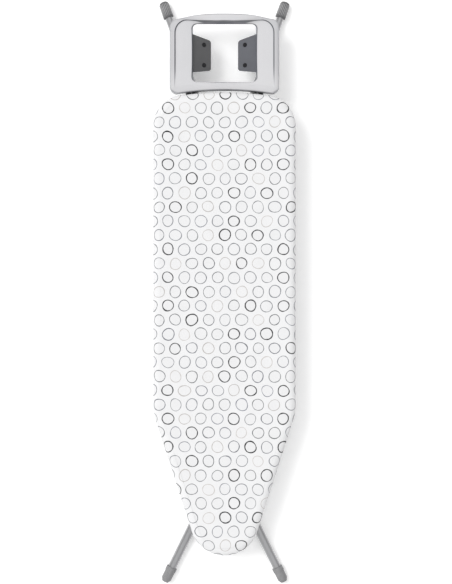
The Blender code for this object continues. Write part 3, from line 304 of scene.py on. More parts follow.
def skin(rings, ends="closed"):
    """Points and faces of a skin through rings, whose ends are closed, open or joined."""
    count, rows = len(rings[0]), len(rings)
    points = [p for ring in rings for p in ring]
    faces = []
    for r in range(rows if ends == "joined" else rows - 1):
        a, b = r * count, (r + 1) % rows * count
        for i in range(count):
            j = (i + 1) % count
            faces.append((a + i, a + j, b + j, b + i))
    if ends == "closed":
        faces.append(tuple(range(count)))
        faces.append(tuple(range((rows - 1) * count, rows * count)))
    return points, faces


def lathe_mesh(name, profile, sides=40, axis="Z", centre=(0, 0, 0), ends="closed", shape=None):
    """A turned shape: profile lists (distance along the axis, radius)."""
    rings = []
    for along, radius in profile:
        ring = []
        for k in range(sides):
            angle = 2 * math.pi * k / sides
            r = radius * (shape(angle) if shape else 1)
            u, v = r * math.cos(angle), r * math.sin(angle)
            place = {"X": (along, u, v), "Y": (u, along, v), "Z": (u, v, along)}[axis]
            ring.append(Vector(centre) + Vector(place))
        rings.append(ring)
    return make_mesh(name, *skin(rings, ends))


def finished(name, mesh, finish, body, slot, *replaced):
    """Puts a mesh on show as a piece, on its body and in its finish."""
    piece = mesh if isinstance(mesh, bpy.types.Object) else link(bpy.data.objects.new(name, mesh))
    if finish:
        piece.data.materials.clear()
        piece.data.materials.append(finish)
    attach(piece, body)
    if replaced:
        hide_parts(*replaced)
    return piece


def set_out(name, part_mesh, places, finish, body, slot, size=1.0, seed=1, replaced=()):
    """One piece made of a small part at each place, a point and the way that it faces."""
    mesh = bpy.data.meshes.new(name + "_places")
    mesh.from_pydata([place for place, _ in places], [], [])
    outward = mesh.attributes.new("outward", "FLOAT_VECTOR", "POINT")
    outward.data.foreach_set("vector", [c for _, way in places for c in way])
    part = link(bpy.data.objects.new(name + "_part", part_mesh))
    values = {"Part": part, "Size": size, "Finish": finish, "Seed": seed}
    piece = grow(name, SET_AT, mesh, values)
    bpy.data.objects.remove(part)
    return finished(name, piece, None, body, slot, *replaced)


def button_mesh(name, width, height, rim=0.35):
    """A low domed head with a soft edge, standing on its own origin."""
    radius = width / 2
    profile = [(-height * 0.4, radius * 0.96), (height * rim, radius)]
    for i in range(1, 6):
        angle = math.pi / 2 * i / 6
        profile.append(
            (height * (rim + (1 - rim) * math.sin(angle)), radius * (0.25 + 0.75 * math.cos(angle)))
        )
    return lathe_mesh(name, profile, 20)


def coat(finish, *nodes):
    """Puts a finish on CAD nodes that are shown as they are."""
    for node in nodes:
        cad[node].data.materials.clear()
        cad[node].data.materials.append(finish)


paint = painted_steel("grey_powder_paint", PAINT_GREY, 0.38, 0.25)
coat(
    paint,
    "rim_channel",
    "heel_plate",
    "crossbar_middle",
    "crossbar_rack_nose",
    "crossbar_rack_heel",
    "axle_bracket_left",
    "axle_bracket_right",
    "rack_rail_left",
    "rack_rail_right",
)


def under(x, y, z):
    return (x, y, z), (0.0, 0.0, -1.0)


welds = []
for node in ("crossbar_middle", "crossbar_rack_nose", "crossbar_rack_heel", "heel_plate"):
    low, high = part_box(node)
    for x in (low[0] + 0.022, high[0] - 0.022):
        for y in (low[1] + 0.008, high[1] - 0.008):
            welds.append(under(x, y, low[2]))
for node, side in (("rack_rail_left", -1), ("rack_rail_right", 1)):
    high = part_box(node)[1]
    for bar in ("crossbar_rack_nose", "crossbar_rack_heel"):
        bar_low, bar_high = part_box(bar)
        for y in (bar_low[1] + 0.008, bar_high[1] - 0.008):
            welds.append(under(side * 0.0575, y, high[2] - 0.002))
for side in (-1, 1):
    low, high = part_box("axle_bracket_right")
    for y in (low[1] + 0.007, high[1] - 0.007):
        welds.append(under(side * (high[0] - 0.008), y, high[2] - 0.002))
set_out(
    "weld_buttons",
    button_mesh("weld_button", WELD_BUTTON, 0.0007),
    welds,
    paint,
    "board",
    "grey_enamel",
)


# ---------------------------------------------------------------- expanded mesh top
# The ironing surface's carrier: steel sheet slit and pulled out into diamonds,
# laid on the rim and the bars, welded down and painted with them.

BOARD_LENGTH, BOARD_WIDTH, HEEL_Y = 1.100, 0.340, 0.471
CORNER_RADIUS, SHOULDER_RADIUS, NOSE_RADIUS = 0.075, 0.100, 0.082
TAPER = math.radians(18.0)
DIAMOND = (0.0105, 0.0235)
STRAND_SHARE = 0.70


def edge_line(step):
    """Points round the board's outline, about a step apart, and the way out at each."""
    nose_y = HEEL_Y - BOARD_LENGTH + NOSE_RADIUS
    shoulder_x = BOARD_WIDTH / 2 - SHOULDER_RADIUS
    corner_x = BOARD_WIDTH / 2 - CORNER_RADIUS
    corner_y = HEEL_Y - CORNER_RADIUS
    run = math.cos(TAPER) * shoulder_x + SHOULDER_RADIUS - NOSE_RADIUS
    shoulder_y = nose_y + run / math.sin(TAPER)
    half = math.pi
    arcs = [
        ((0.0, nose_y), NOSE_RADIUS, half + TAPER, 2 * half - TAPER),
        ((shoulder_x, shoulder_y), SHOULDER_RADIUS, -TAPER, 0.0),
        ((corner_x, corner_y), CORNER_RADIUS, 0.0, half / 2),
        ((-corner_x, corner_y), CORNER_RADIUS, half / 2, half),
        ((-shoulder_x, shoulder_y), SHOULDER_RADIUS, half, half + TAPER),
    ]
    line = []
    for index, ((x, y), radius, start, end) in enumerate(arcs):
        steps = max(2, round(radius * (end - start) / step))
        for i in range(steps + 1):
            angle = start + (end - start) * i / steps
            out = Vector((math.cos(angle), math.sin(angle)))
            line.append((Vector((x, y)) + out * radius, out))
        (x2, y2), radius2, start2, _ = arcs[(index + 1) % len(arcs)]
        out = line[-1][1]
        here = line[-1][0]
        there = Vector((x2, y2)) + Vector((math.cos(start2), math.sin(start2))) * radius2
        steps = max(1, round((there - here).length / step))
        line += [(here.lerp(there, i / steps), out) for i in range(1, steps)]
    return line


def expanded_tree():
    """A sheared grid cut to a plan, each cell opened to a diamond, then made thick."""
    inputs = {
        "Cell Across": "Float",
        "Cell Along": "Float",
        "Cells": "Int",
        "Level": "Float",
        "Opening": "Float",
        "Thickness": "Float",
        "Finish": "Material",
    }
    tree, source, result = new_tree("expanded_mesh", inputs)
    count = maths(tree, "ADD", source["Cells"], 1.0)
    grid = wire(
        tree,
        "GeometryNodeMeshGrid",
        {
            "Size X": source["Cells"],
            "Size Y": source["Cells"],
            "Vertices X": count,
            "Vertices Y": count,
        },
    )
    spot = add_node(
        tree, "ShaderNodeSeparateXYZ", {0: wire(tree, "GeometryNodeInputPosition")}
    ).outputs
    across = maths(
        tree, "MULTIPLY", maths(tree, "SUBTRACT", spot[0], spot[1]), source["Cell Across"]
    )
    along = maths(tree, "MULTIPLY", maths(tree, "ADD", spot[0], spot[1]), source["Cell Along"])
    across = maths(tree, "MULTIPLY", across, 0.5)
    along = maths(tree, "SUBTRACT", maths(tree, "MULTIPLY", along, 0.5), 0.08)
    sheared = wire(tree, "ShaderNodeCombineXYZ", {"X": across, "Y": along, "Z": source["Level"]})
    grid = wire(tree, "GeometryNodeSetPosition", {"Geometry": grid, "Position": sheared})
    near = add_node(
        tree, "GeometryNodeProximity", {"Geometry": source["Geometry"]}, target_element="FACES"
    ).outputs
    far_away = maths(tree, "GREATER_THAN", near["Distance"], 0.02)
    grid = wire(tree, "GeometryNodeDeleteGeometry", {"Geometry": grid, "Selection": far_away})
    grid = wire(tree, "GeometryNodeSetPosition", {"Geometry": grid, "Position": near["Position"]})
    area = wire(tree, "GeometryNodeInputMeshFaceArea")
    grid = wire(
        tree,
        "GeometryNodeDeleteGeometry",
        {"Geometry": grid, "Selection": maths(tree, "LESS_THAN", area, 0.000004)},
        domain="FACE",
    )
    opened = add_node(
        tree, "GeometryNodeExtrudeMesh", {"Mesh": grid, "Offset Scale": 0.0, "Individual": True}
    ).outputs
    shrunk = wire(
        tree,
        "GeometryNodeScaleElements",
        {"Geometry": opened["Mesh"], "Selection": opened["Top"], "Scale": source["Opening"]},
    )
    sheet = wire(
        tree,
        "GeometryNodeDeleteGeometry",
        {"Geometry": shrunk, "Selection": opened["Top"]},
        domain="FACE",
        mode="ONLY_FACE",
    )
    sheet = wire(tree, "GeometryNodeMergeByDistance", {"Geometry": sheet, "Distance": 0.00002})
    down = maths(tree, "MULTIPLY", source["Thickness"], -1.0)
    thick = wire(
        tree,
        "GeometryNodeExtrudeMesh",
        {
            "Mesh": sheet,
            "Offset": wire(tree, "ShaderNodeCombineXYZ", {"Z": down}),
            "Offset Scale": 1.0,
            "Individual": False,
        },
    )
    joined = tree.nodes.new("GeometryNodeJoinGeometry")
    for shape in (sheet, thick):
        tree.links.new(shape, joined.inputs[0])
    whole = wire(
        tree, "GeometryNodeMergeByDistance", {"Geometry": joined.outputs[0], "Distance": 0.00002}
    )
    return finish_tree(tree, source, result, whole)


SHEET_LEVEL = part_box("mesh_top")[1][2] - 0.00005
plan = bpy.data.meshes.new("mesh_plan")
plan_line = edge_line(0.006)
plan.from_pydata(
    [(*(place - out * 0.0028), SHEET_LEVEL) for place, out in plan_line],
    [],
    [tuple(range(len(plan_line)))],
)
mesh_top = grow(
    "expanded_mesh",
    expanded_tree(),
    plan,
    {
        "Cell Across": DIAMOND[0],
        "Cell Along": DIAMOND[1],
        "Cells": 80,
        "Level": SHEET_LEVEL,
        "Opening": STRAND_SHARE,
        "Thickness": 0.0009,
        "Finish": paint,
    },
)
finished("expanded_mesh", mesh_top, None, "board", "grey_enamel", "mesh_top")


# ---------------------------------------------------------------- foam pad
# A thin pad of grey-white foam and felt, cut to the outline, which lies loose
# on the mesh and is pressed flat by the stretched cover.

FOAM_UNDER, FOAM_OVER, FOAM_BULGE, FOAM_PLAY = 0.0135, 0.0165, 0.0075, 0.0001
HEEL_BOW, HEEL_BOW_HALF = 0.0060, 0.090


def felt_finish():
    """Needled felt: short tangled fibres, and faint diamonds pressed in by the mesh."""
    made, tree = new_finish("needled_felt", (0.70, 0.70, 0.68), 0.95, Sheen_Weight=0.25)
    fibres = noise(tree, 1400, 4, (1, 0.35, 1))
    share = between(tree, fibres, 0, 1, 0.35, 0.65)
    tone = blend_colours(tree, share, (0.58, 0.58, 0.57), (0.76, 0.76, 0.74))
    cloud = between(tree, noise(tree, 60, 4, seed=2), 0, 0.5, 0.4, 0.7)
    tone = blend_colours(tree, cloud, tone, (0.66, 0.66, 0.66))
    place = add_node(tree, "ShaderNodeTexCoord").outputs["Object"]
    spot = add_node(tree, "ShaderNodeSeparateXYZ", {0: place}).outputs
    waves = []
    for sign in (1, -1):
        across = maths(tree, "MULTIPLY", spot[0], math.pi / DIAMOND[0])
        along = maths(tree, "MULTIPLY", spot[1], sign * math.pi / DIAMOND[1])
        wave = maths(tree, "SINE", maths(tree, "ADD", across, along))
        waves.append(maths(tree, "ABSOLUTE", wave))
    pressed = maths(tree, "MULTIPLY", maths(tree, "MINIMUM", *waves), 1.5)
    return dressed(made, tone, None, maths(tree, "ADD", pressed, fibres), 0.0004, 0.7)


def bowed(line):
    """The outline of the soft layers, which bulge a little over the middle of the heel."""
    shifted = []
    for place, out in line:
        bow = HEEL_BOW * max(0.0, 1 - (place.x / HEEL_BOW_HALF) ** 2) if out.y > 0.5 else 0.0
        shifted.append((place + Vector((0, bow)), out))
    return shifted


def filled_plan(line, inset, level, spacing, wave=None):
    """Points and triangles that fill the outline, moved in by inset, with even points."""
    edge = [place - out * inset for place, out in line]
    low = Vector((min(p.x for p in edge), min(p.y for p in edge)))
    high = Vector((max(p.x for p in edge), max(p.y for p in edge)))
    dots = list(edge)
    row, y = 0, low.y + spacing * 0.5
    while y < high.y:
        cuts = []
        for a, b in zip(edge, edge[1:] + edge[:1]):
            if (a.y > y) != (b.y > y):
                cuts.append(a.x + (b.x - a.x) * (y - a.y) / (b.y - a.y))
        if len(cuts) == 2:
            x = -0.3 + (row % 2) * spacing / 2
            while x < max(cuts) - spacing * 0.6:
                if x > min(cuts) + spacing * 0.6:
                    dots.append(Vector((x, y)))
                x += spacing
        row, y = row + 1, y + spacing * 0.866
    count = len(edge)
    ties = [(i, (i + 1) % count) for i in range(count)]
    flat, _, faces, _, _, _ = geometry.delaunay_2d_cdt(dots, ties, [], 1, 1e-6)
    rise = wave or (lambda x, y: 0.0)
    return [(p.x, p.y, level + rise(p.x, p.y)) for p in flat], [tuple(f) for f in faces]


def make_foam():
    low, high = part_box("foam_pad")
    line = bowed(edge_line(0.006))
    bottom, top = low[2] + FOAM_PLAY, high[2] - FOAM_PLAY
    points, faces = filled_plan(line, FOAM_UNDER, bottom, 0.012)
    top_points, top_faces = filled_plan(line, FOAM_OVER, top, 0.012)
    rings = []
    for i in range(9):
        angle = math.radians(-72 + 162 * i / 8)
        middle = (low[2] + high[2]) / 2
        rise = (high[2] - low[2]) / 2 - FOAM_PLAY
        inset = FOAM_OVER - FOAM_BULGE * max(0.0, math.cos(angle)) ** 0.8
        rings.append([(*(p - out * inset), middle + rise * math.sin(angle)) for p, out in line])
    rings[0] = [(*(p - out * FOAM_UNDER), bottom) for p, out in line]
    rings[-1] = [(*(p - out * FOAM_OVER), top) for p, out in line]
    side_points, side_faces = skin(rings, "open")
    for more_points, more_faces in ((top_points, top_faces), (side_points, side_faces)):
        start = len(points)
        points += more_points
        faces += [tuple(i + start for i in face) for face in more_faces]
    mesh = make_mesh("foam_layer", points, faces, 60)
    return finished("foam_layer", mesh, felt_finish(), "board", "felt", "foam_pad")


foam = make_foam()


# ---------------------------------------------------------------- cotton cover
# A fitted cotton cover printed with hand-drawn rings, pulled over the pad and
# the rim. Its edge is turned under into a casing, which gathers it underneath.

EDGE_REACH, EDGE_DROP, RIM_INSET, HEM_WIDTH = 0.018, 0.0125, 0.0090, 0.030
CASING_RADIUS = 0.0016
CASING_INSET, PUCKER = HEM_WIDTH - CASING_RADIUS, 0.0005
COTTON = (0.775, 0.775, 0.782)
RING_RADIUS, RING_ROW, RING_COLUMN = 0.0133, 0.03361, 0.0393
RING_WOBBLE, PEN_HALF, THREAD_PITCH = 0.0066, (0.00055, 0.00125), 0.0011
FIRST_ROW_Y = 0.4378
ODD_COLUMN_X, EVEN_COLUMN_X = 0.00275 - 3.5 * 0.0392, 0.0014 - 4 * 0.0394
DARK_RINGS = "057 - 047 2 057 2 46 18 4 46 07 5 07 2 057 2 46 18 4 4".split()
PALE_RINGS = "14 7 1 5 3 6 1 3 6 3 - 146 - 05 3 6 1 3 6 13".split()


def ring_ink(x, y):
    """The nearest ring's ink, and half the width of its pen stroke."""
    best = None
    near_row = round((FIRST_ROW_Y - y) / RING_ROW) + 1
    for row in (near_row - 1, near_row, near_row + 1):
        start = ODD_COLUMN_X if row % 2 else EVEN_COLUMN_X
        column = round((x - start) / RING_COLUMN)
        centre = (start + column * RING_COLUMN, FIRST_ROW_Y - (row - 1) * RING_ROW)
        away = math.dist((x, y), centre)
        if best is None or away < best[0]:
            best = (away, row, column)
    _, row, column = best
    chance = random.Random(row * 97 + column * 13 + 5)
    key = str(column) if 0 <= column <= 8 else "x"
    if key in DARK_RINGS[(row - 1) % 20]:
        tone = chance.uniform(0.012, 0.045)
        return (tone, tone * 1.03, tone * 1.12, chance.uniform(1.20, 1.50))
    if key in PALE_RINGS[(row - 1) % 20]:
        tone = chance.uniform(0.42, 0.54)
        return (tone * 1.03, tone * 0.985, tone * 0.95, chance.uniform(0.85, 1.05))
    tone = chance.uniform(0.13, 0.25)
    blue = chance.uniform(1.02, 1.16)
    return (tone * 0.96, tone, min(0.8, tone * blue), chance.uniform(0.80, 1.10))


def cotton_finish():
    """Plain-weave cotton with a ring print. The print follows the cloth's own flat plan."""
    made, tree = new_finish(
        "ring_print_cotton", COTTON, 0.90, Sheen_Weight=0.02, Specular_IOR_Level=0.12
    )
    flat = wire(tree, "ShaderNodeUVMap", uv_map="cloth")
    hand = noise(tree, 27, 0, spot=flat, seed=1, result="Color")
    shake = wire(tree, "ShaderNodeVectorMath", {0: hand, 1: (0.5, 0.5, 0.5)}, operation="SUBTRACT")
    shake = wire(tree, "ShaderNodeVectorMath", {0: shake, 3: RING_WOBBLE}, operation="SCALE")
    drawn = wire(tree, "ShaderNodeVectorMath", {0: flat, 1: shake}, operation="ADD")
    spot = add_node(tree, "ShaderNodeSeparateXYZ", {0: drawn}).outputs
    gaps = []
    for x0, pitch, y0 in (
        (ODD_COLUMN_X, 0.0392, FIRST_ROW_Y), (EVEN_COLUMN_X, 0.0394, FIRST_ROW_Y + RING_ROW)
    ):
        across = maths(tree, "WRAP", maths(tree, "SUBTRACT", spot[0], x0), pitch / 2, -pitch / 2)
        along = maths(tree, "WRAP", maths(tree, "SUBTRACT", spot[1], y0), RING_ROW, -RING_ROW)
        arm = wire(tree, "ShaderNodeCombineXYZ", {"X": across, "Y": along})
        length = add_node(tree, "ShaderNodeVectorMath", {0: arm}, operation="LENGTH")
        gaps.append(length.outputs["Value"])
    centre_gap = maths(tree, "MINIMUM", *gaps)
    from_line = maths(tree, "ABSOLUTE", maths(tree, "SUBTRACT", centre_gap, RING_RADIUS))
    ink = add_node(tree, "ShaderNodeAttribute", attribute_name="ring_ink").outputs
    press = between(tree, noise(tree, 75, 2, spot=flat, seed=4), *PEN_HALF, 0.3, 0.7)
    edge = maths(tree, "SUBTRACT", from_line, maths(tree, "MULTIPLY", press, ink["Alpha"]))
    stroke = between(tree, edge, 1.0, 0.0, -0.00025, 0.00030, True)
    dry = between(tree, noise(tree, 900, 2, spot=flat, seed=6), 0.80, 1.0, 0.3, 0.5)
    stroke = maths(tree, "MULTIPLY", stroke, dry)
    wash = between(tree, centre_gap, 0.03, 0.0, RING_RADIUS - 0.002, RING_RADIUS, True)
    cloud = noise(tree, 30, 4, spot=flat, seed=9)
    cloth = blend_colours(tree, cloud, shaded(COTTON, 0.955), shaded(COTTON, 1.03))
    cloth = blend_colours(tree, wash, cloth, ink["Color"])
    printed = blend_colours(tree, stroke, cloth, ink["Color"])
    threads = []
    for run in add_node(tree, "ShaderNodeSeparateXYZ", {0: flat}).outputs[:2]:
        turn = maths(tree, "MULTIPLY", run, 2 * math.pi / THREAD_PITCH)
        threads.append(maths(tree, "SINE", turn))
    weave = maths(tree, "MULTIPLY", maths(tree, "MULTIPLY", *threads), 0.4)
    slub = noise(tree, 160, 3, (1, 8, 1), spot=flat, seed=11)
    return dressed(made, printed, None, maths(tree, "ADD", weave, slub), 0.00012, 0.5)


def smooth_step(value, start, end):
    share = min(1.0, max(0.0, (value - start) / (end - start)))
    return share * share * (3 - 2 * share)


def cover_rings():
    """(inset, level, flat inset) from the top's edge, round the rim, to the casing."""
    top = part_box("cover")[1][2]
    stations = []
    for i in range(13):
        angle = math.pi / 2 * i / 12
        stations.append(
            (EDGE_REACH * (1 - math.sin(angle)), top - EDGE_DROP * (1 - math.cos(angle)))
        )
    rim_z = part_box("cover")[0][2] + RIM_INSET
    for i in range(7):
        angle = math.pi / 2 * i / 6
        stations.append((RIM_INSET * (1 - math.cos(angle)), rim_z - RIM_INSET * math.sin(angle)))
    hem_z = stations[-1][1]
    for i in range(1, 11):
        stations.append((RIM_INSET + (CASING_INSET - RIM_INSET) * i / 10, hem_z))
    for i in range(1, 7):
        angle = math.pi * i / 6
        stations.append(
            (
                CASING_INSET + CASING_RADIUS * math.sin(angle),
                hem_z + CASING_RADIUS * (1 - math.cos(angle)),
            )
        )
    for i in range(1, 4):
        stations.append((CASING_INSET - 0.0028 * i, stations[-1][1] - 0.0002))
    rings, flat = [], EDGE_REACH
    for i, (inset, level) in enumerate(stations):
        if i:
            flat -= math.dist(stations[i - 1], (inset, level))
        rings.append((inset, level, flat))
    return rings


def gathers_tree():
    """Lifts a hem in uneven pleats across its run, more the nearer to its drawn edge."""
    inputs = {"Pleat": "Float", "Depth": "Float", "Unevenness": "Float", "Finish": "Material"}
    tree, source, result = new_tree("hem_gathers", inputs)
    run, share = (
        wire(tree, "GeometryNodeInputNamedAttribute", {"Name": label}, data_type="FLOAT")
        for label in ("hem_run", "hem_share")
    )
    spot = wire(tree, "GeometryNodeInputPosition")
    cloud = wire(tree, "ShaderNodeTexNoise", {"Vector": spot, "Scale": 34.0})
    slip = maths(tree, "MULTIPLY", maths(tree, "SUBTRACT", cloud, 0.5), source["Unevenness"])
    turn = maths(tree, "ADD", maths(tree, "DIVIDE", run, source["Pleat"]), slip)
    wave = maths(tree, "SINE", maths(tree, "MULTIPLY", turn, 2 * math.pi))
    size = between(tree, cloud, 0.35, 1.0, 0.35, 0.65)
    wave = maths(tree, "MULTIPLY", maths(tree, "ADD", wave, 0.75), size)
    lift = maths(tree, "MULTIPLY", maths(tree, "MULTIPLY", wave, share), source["Depth"])
    move = wire(tree, "ShaderNodeCombineXYZ", {"Z": lift})
    moved = wire(tree, "GeometryNodeSetPosition", {"Geometry": source["Geometry"], "Offset": move})
    return finish_tree(tree, source, result, moved)


def make_cover():
    line = bowed(edge_line(0.0022))
    runs = [0.0]
    for (a, _), (b, _) in zip(line, line[1:]):
        runs.append(runs[-1] + (b - a).length)
    rings = cover_rings()
    top = rings[0][1]

    def ripple(x, y):
        inside = min(1.0, max(0.0, (BOARD_WIDTH / 2 - 0.012 - abs(x)) / 0.03))
        calm = min(1.0, max(0.0, (HEEL_Y - 0.012 - y) / 0.03)) * inside
        across = math.sin(x * 61 + 1.3 * math.sin(y * 17))
        along = math.sin(y * 43 + 2.1 * math.cos(x * 23))
        return -0.00035 * calm * (1 + across * along)

    points, faces = filled_plan(line, EDGE_REACH, top, 0.006, ripple)
    flats = [(p[0], p[1]) for p in points]
    hems = [(0.0, 0.0)] * len(points)

    def pucker(run, y):
        """How far the cloth draws in at its edge: a faint gather, deeper round the nose."""
        wave = math.sin(run * 330 + 2.4 * math.sin(run * 29)) * math.sin(run * 47 + 1.1)
        return PUCKER * (0.25 + 0.75 * smooth_step(-y, 0.22, 0.46)) * (1 + wave) / 2

    side_rings = []
    for inset, level, _ in rings:
        depth = math.sin(math.pi * min(1.0, max(0.0, (top - level) / (2 * EDGE_DROP))))
        side_rings.append(
            [
                (*(p - out * (inset + depth * pucker(run, p.y))), level)
                for (p, out), run in zip(line, runs)
            ]
        )
    side_points, side_faces = skin(side_rings, "open")
    start = len(points)
    points += side_points
    faces += [tuple(i + start for i in face) for face in side_faces]
    for index, (inset, _, flat) in enumerate(rings):
        share = 0.0
        if index > 19:
            share = min(1.0, max(0.0, (inset - 0.012) / 0.014)) if index < 30 else 1.0
        flats += [tuple(p - out * flat) for p, out in line]
        hems += [(run, share) for run in runs]
    mesh = bpy.data.meshes.new("cover_cloth")
    mesh.from_pydata(points, [], faces)
    for index, name in enumerate(("hem_run", "hem_share")):
        layer = mesh.attributes.new(name, "FLOAT", "POINT")
        layer.data.foreach_set("value", [pair[index] for pair in hems])
    ink = mesh.attributes.new("ring_ink", "FLOAT_COLOR", "POINT")
    ink.data.foreach_set("color", [c for u, v in flats for c in ring_ink(u, v)])
    cloth = mesh.uv_layers.new(name="cloth")
    corners = [0] * len(mesh.loops)
    mesh.loops.foreach_get("vertex_index", corners)
    cloth.data.foreach_set("uv", [c for v in corners for c in flats[v]])
    turned_out(mesh, 1e-6)
    outermost = [p - out * rings[-1][2] for p, out in line]
    area = 0.5 * abs(
        sum(a.x * b.y - b.x * a.y for a, b in zip(outermost, outermost[1:] + outermost[:1]))
    )
    size = [max(p[i] for p in outermost) - min(p[i] for p in outermost) for i in (0, 1)]
    values = {"Pleat": 0.0095, "Depth": 0.0014, "Unevenness": 2.6, "Finish": cotton_finish()}
    cover = grow("cover_cloth", gathers_tree(), mesh, values)
    return finished("cover_cloth", cover, None, "board", "cotton", "cover"), size, area


cover, cut_size, cut_area = make_cover()


def set_along_tree():
    """A small part at even spaces along a path, laid on the cloth and in line with it."""
    inputs = {"Part": "Object", "Cloth": "Object", "Spacing": "Float", "Finish": "Material"}
    tree, source, result = new_tree("set_along_path", inputs)
    path = wire(tree, "GeometryNodeMeshToCurve", {"Mesh": source["Geometry"]})
    path = wire(
        tree,
        "GeometryNodeResampleCurve",
        {"Curve": path, "Length": source["Spacing"]},
        mode="LENGTH",
    )
    cloth = add_node(tree, "GeometryNodeObjectInfo", {"Object": source["Cloth"]}).outputs[
        "Geometry"
    ]
    near = add_node(
        tree, "GeometryNodeProximity", {"Geometry": cloth}, target_element="FACES"
    ).outputs
    path = wire(tree, "GeometryNodeSetPosition", {"Geometry": path, "Position": near["Position"]})
    tangent = wire(tree, "GeometryNodeInputTangent")
    lined = wire(
        tree, "FunctionNodeAlignRotationToVector", {"Vector": tangent}, axis="X", pivot_axis="Z"
    )
    part = add_node(tree, "GeometryNodeObjectInfo", {"Object": source["Part"]}).outputs["Geometry"]
    placed = wire(
        tree, "GeometryNodeInstanceOnPoints", {"Points": path, "Instance": part, "Rotation": lined}
    )
    return finish_tree(tree, source, result, placed)


def stitch_mesh():
    """One stitch: a short, slightly sunk loop of thread."""
    rings = []
    for i in range(7):
        along = -0.0014 + 0.0028 * i / 6
        drop = -0.00042 * math.cos(math.pi * (i / 6 - 0.5))
        rings.append([(along, 0.00027 * c, drop + 0.00027 * s) for c, s in circle(5)])
    return make_mesh("hem_stitch", *skin(rings))


def thread_finish():
    made, tree = new_finish("sewing_thread", (0.80, 0.80, 0.80), 0.6, Sheen_Weight=0.2)
    twist = noise(tree, 2600, 1)
    tone = blend_colours(tree, twist, (0.66, 0.66, 0.67), (0.86, 0.86, 0.86))
    return dressed(made, tone, None, twist, 0.0001, 0.6)


STITCH_INSET, STITCH_SPACING = 0.0212, 0.0036
stitch_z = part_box("cover")[0][2] - 0.0003
stitch_line = [(*(p - out * STITCH_INSET), stitch_z) for p, out in bowed(edge_line(0.004))]
stitch_path = bpy.data.meshes.new("stitch_path")
count = len(stitch_line)
stitch_path.from_pydata(stitch_line, [(i, (i + 1) % count) for i in range(count)], [])
stitch_part = link(bpy.data.objects.new("stitch_part", stitch_mesh()))
stitches = grow(
    "hem_stitches",
    set_along_tree(),
    stitch_path,
    {"Part": stitch_part, "Cloth": cover, "Spacing": STITCH_SPACING, "Finish": thread_finish()},
)
bpy.data.objects.remove(stitch_part)
finished("hem_stitches", stitches, None, "board", "cotton")


# ---------------------------------------------------------------- heel axle
# A zinc-plated rod through both brackets, which the front legs' cross tube
# turns on, with a black plastic cap pushed on each end.


def zinc_finish():
    """Bright zinc plate: faint rolling lines, a mottled spangle and dull scuffs."""
    made, tree = new_finish("zinc_plate", (0.60, 0.61, 0.62), 0.30, 1.0)
    tone = blend_colours(tree, noise(tree, 240, 5), (0.50, 0.51, 0.53), (0.70, 0.71, 0.72))
    rough = between(tree, noise(tree, 70, 5, seed=5), 0.22, 0.44, 0.35, 0.7)
    lines = noise(tree, 2200, 2, (0.08, 0.3, 1))
    return dressed(made, tone, rough, lines, 0.00002, 0.5)


def black_plastic_finish():
    """Black moulded plastic: a fine spark-eroded grain with a soft shine."""
    made, tree = new_finish("black_moulded_plastic", (0.018, 0.018, 0.02), 0.42)
    cloud = noise(tree, 90, 4, seed=2)
    tone = blend_colours(tree, cloud, (0.013, 0.013, 0.014), (0.030, 0.030, 0.032))
    rough = between(tree, cloud, 0.34, 0.52)
    return dressed(made, tone, rough, noise(tree, 1800, 2), 0.00005, 0.5)


zinc = zinc_finish()
black_plastic = black_plastic_finish()


def smooth_round(name, node, finish, body, slot, axis="X", edge=0.0006, bore=None, sides=40):
    """A turned piece the size of its CAD node, with softened edges and maybe a bore."""
    low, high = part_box(node)
    index = "XYZ".index(axis)
    centre = [(a + b) / 2 for a, b in zip(low, high)]
    start, end = low[index], high[index]
    centre[index] = 0.0
    radius = (high[(index + 1) % 3] - low[(index + 1) % 3]) / 2
    soft = [(0.0, edge), (edge * 0.3, edge * 0.3), (edge, 0.0)]
    profile = [(start + a, radius - b) for a, b in soft]
    profile += [(end - a, radius - b) for a, b in reversed(soft)]
    if bore:
        profile += [(end, bore), (start, bore)]
    ends = "joined" if bore else "closed"
    mesh = lathe_mesh(name, profile, sides, axis, centre, ends)
    return finished(name, mesh, finish, body, slot, node)


PIN_BORE = 0.0042
smooth_round("heel_axle_rod", "axle_rod", zinc, "board", "zinc")
for side in ("left", "right"):
    low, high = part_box("axle_cap_" + side)
    sign = -1 if side == "left" else 1
    near = min(abs(low[0]), abs(high[0]))
    far = max(abs(low[0]), abs(high[0]))
    centre = (0, (low[1] + high[1]) / 2, (low[2] + high[2]) / 2)
    radius = (high[2] - low[2]) / 2
    profile = [
        (near, PIN_BORE),
        (near, radius - 0.0004),
        (near + 0.0004, radius),
        (near + (far - near) * 0.5, radius),
        (near + (far - near) * 0.72, radius * 0.93),
        (near + (far - near) * 0.92, radius * 0.62),
        (far, radius * 0.35),
        (far, 0.0004),
    ]
    mesh = lathe_mesh("push_cap", [(sign * a, r) for a, r in profile], 40, "X", centre, "closed")
    name, node = "heel_axle_cap_" + side, "axle_cap_" + side
    finished(name, mesh, black_plastic, "board", "black_plastic", node)


# ---------------------------------------------------------------- front legs
# The pair whose feet are at the nose: two bent steel tubes welded to a cross
# tube that turns on the heel axle, with a flat steel tie riveted under them.

ARM_LENGTH, FOOT_REACH, FOLDED = 0.380, 0.705, math.radians(2.0)
BEND_RADIUS, TUBE_WALL = 0.090, 0.0012
FRONT_TUBE, FRONT_TUBE_X, FRONT_FOOT_X, FRONT_SPLAY = 0.010, 0.0335, 0.145, math.radians(26.1)
FOOT_LENGTH, FOOT_SOCKET = 0.040, 0.028


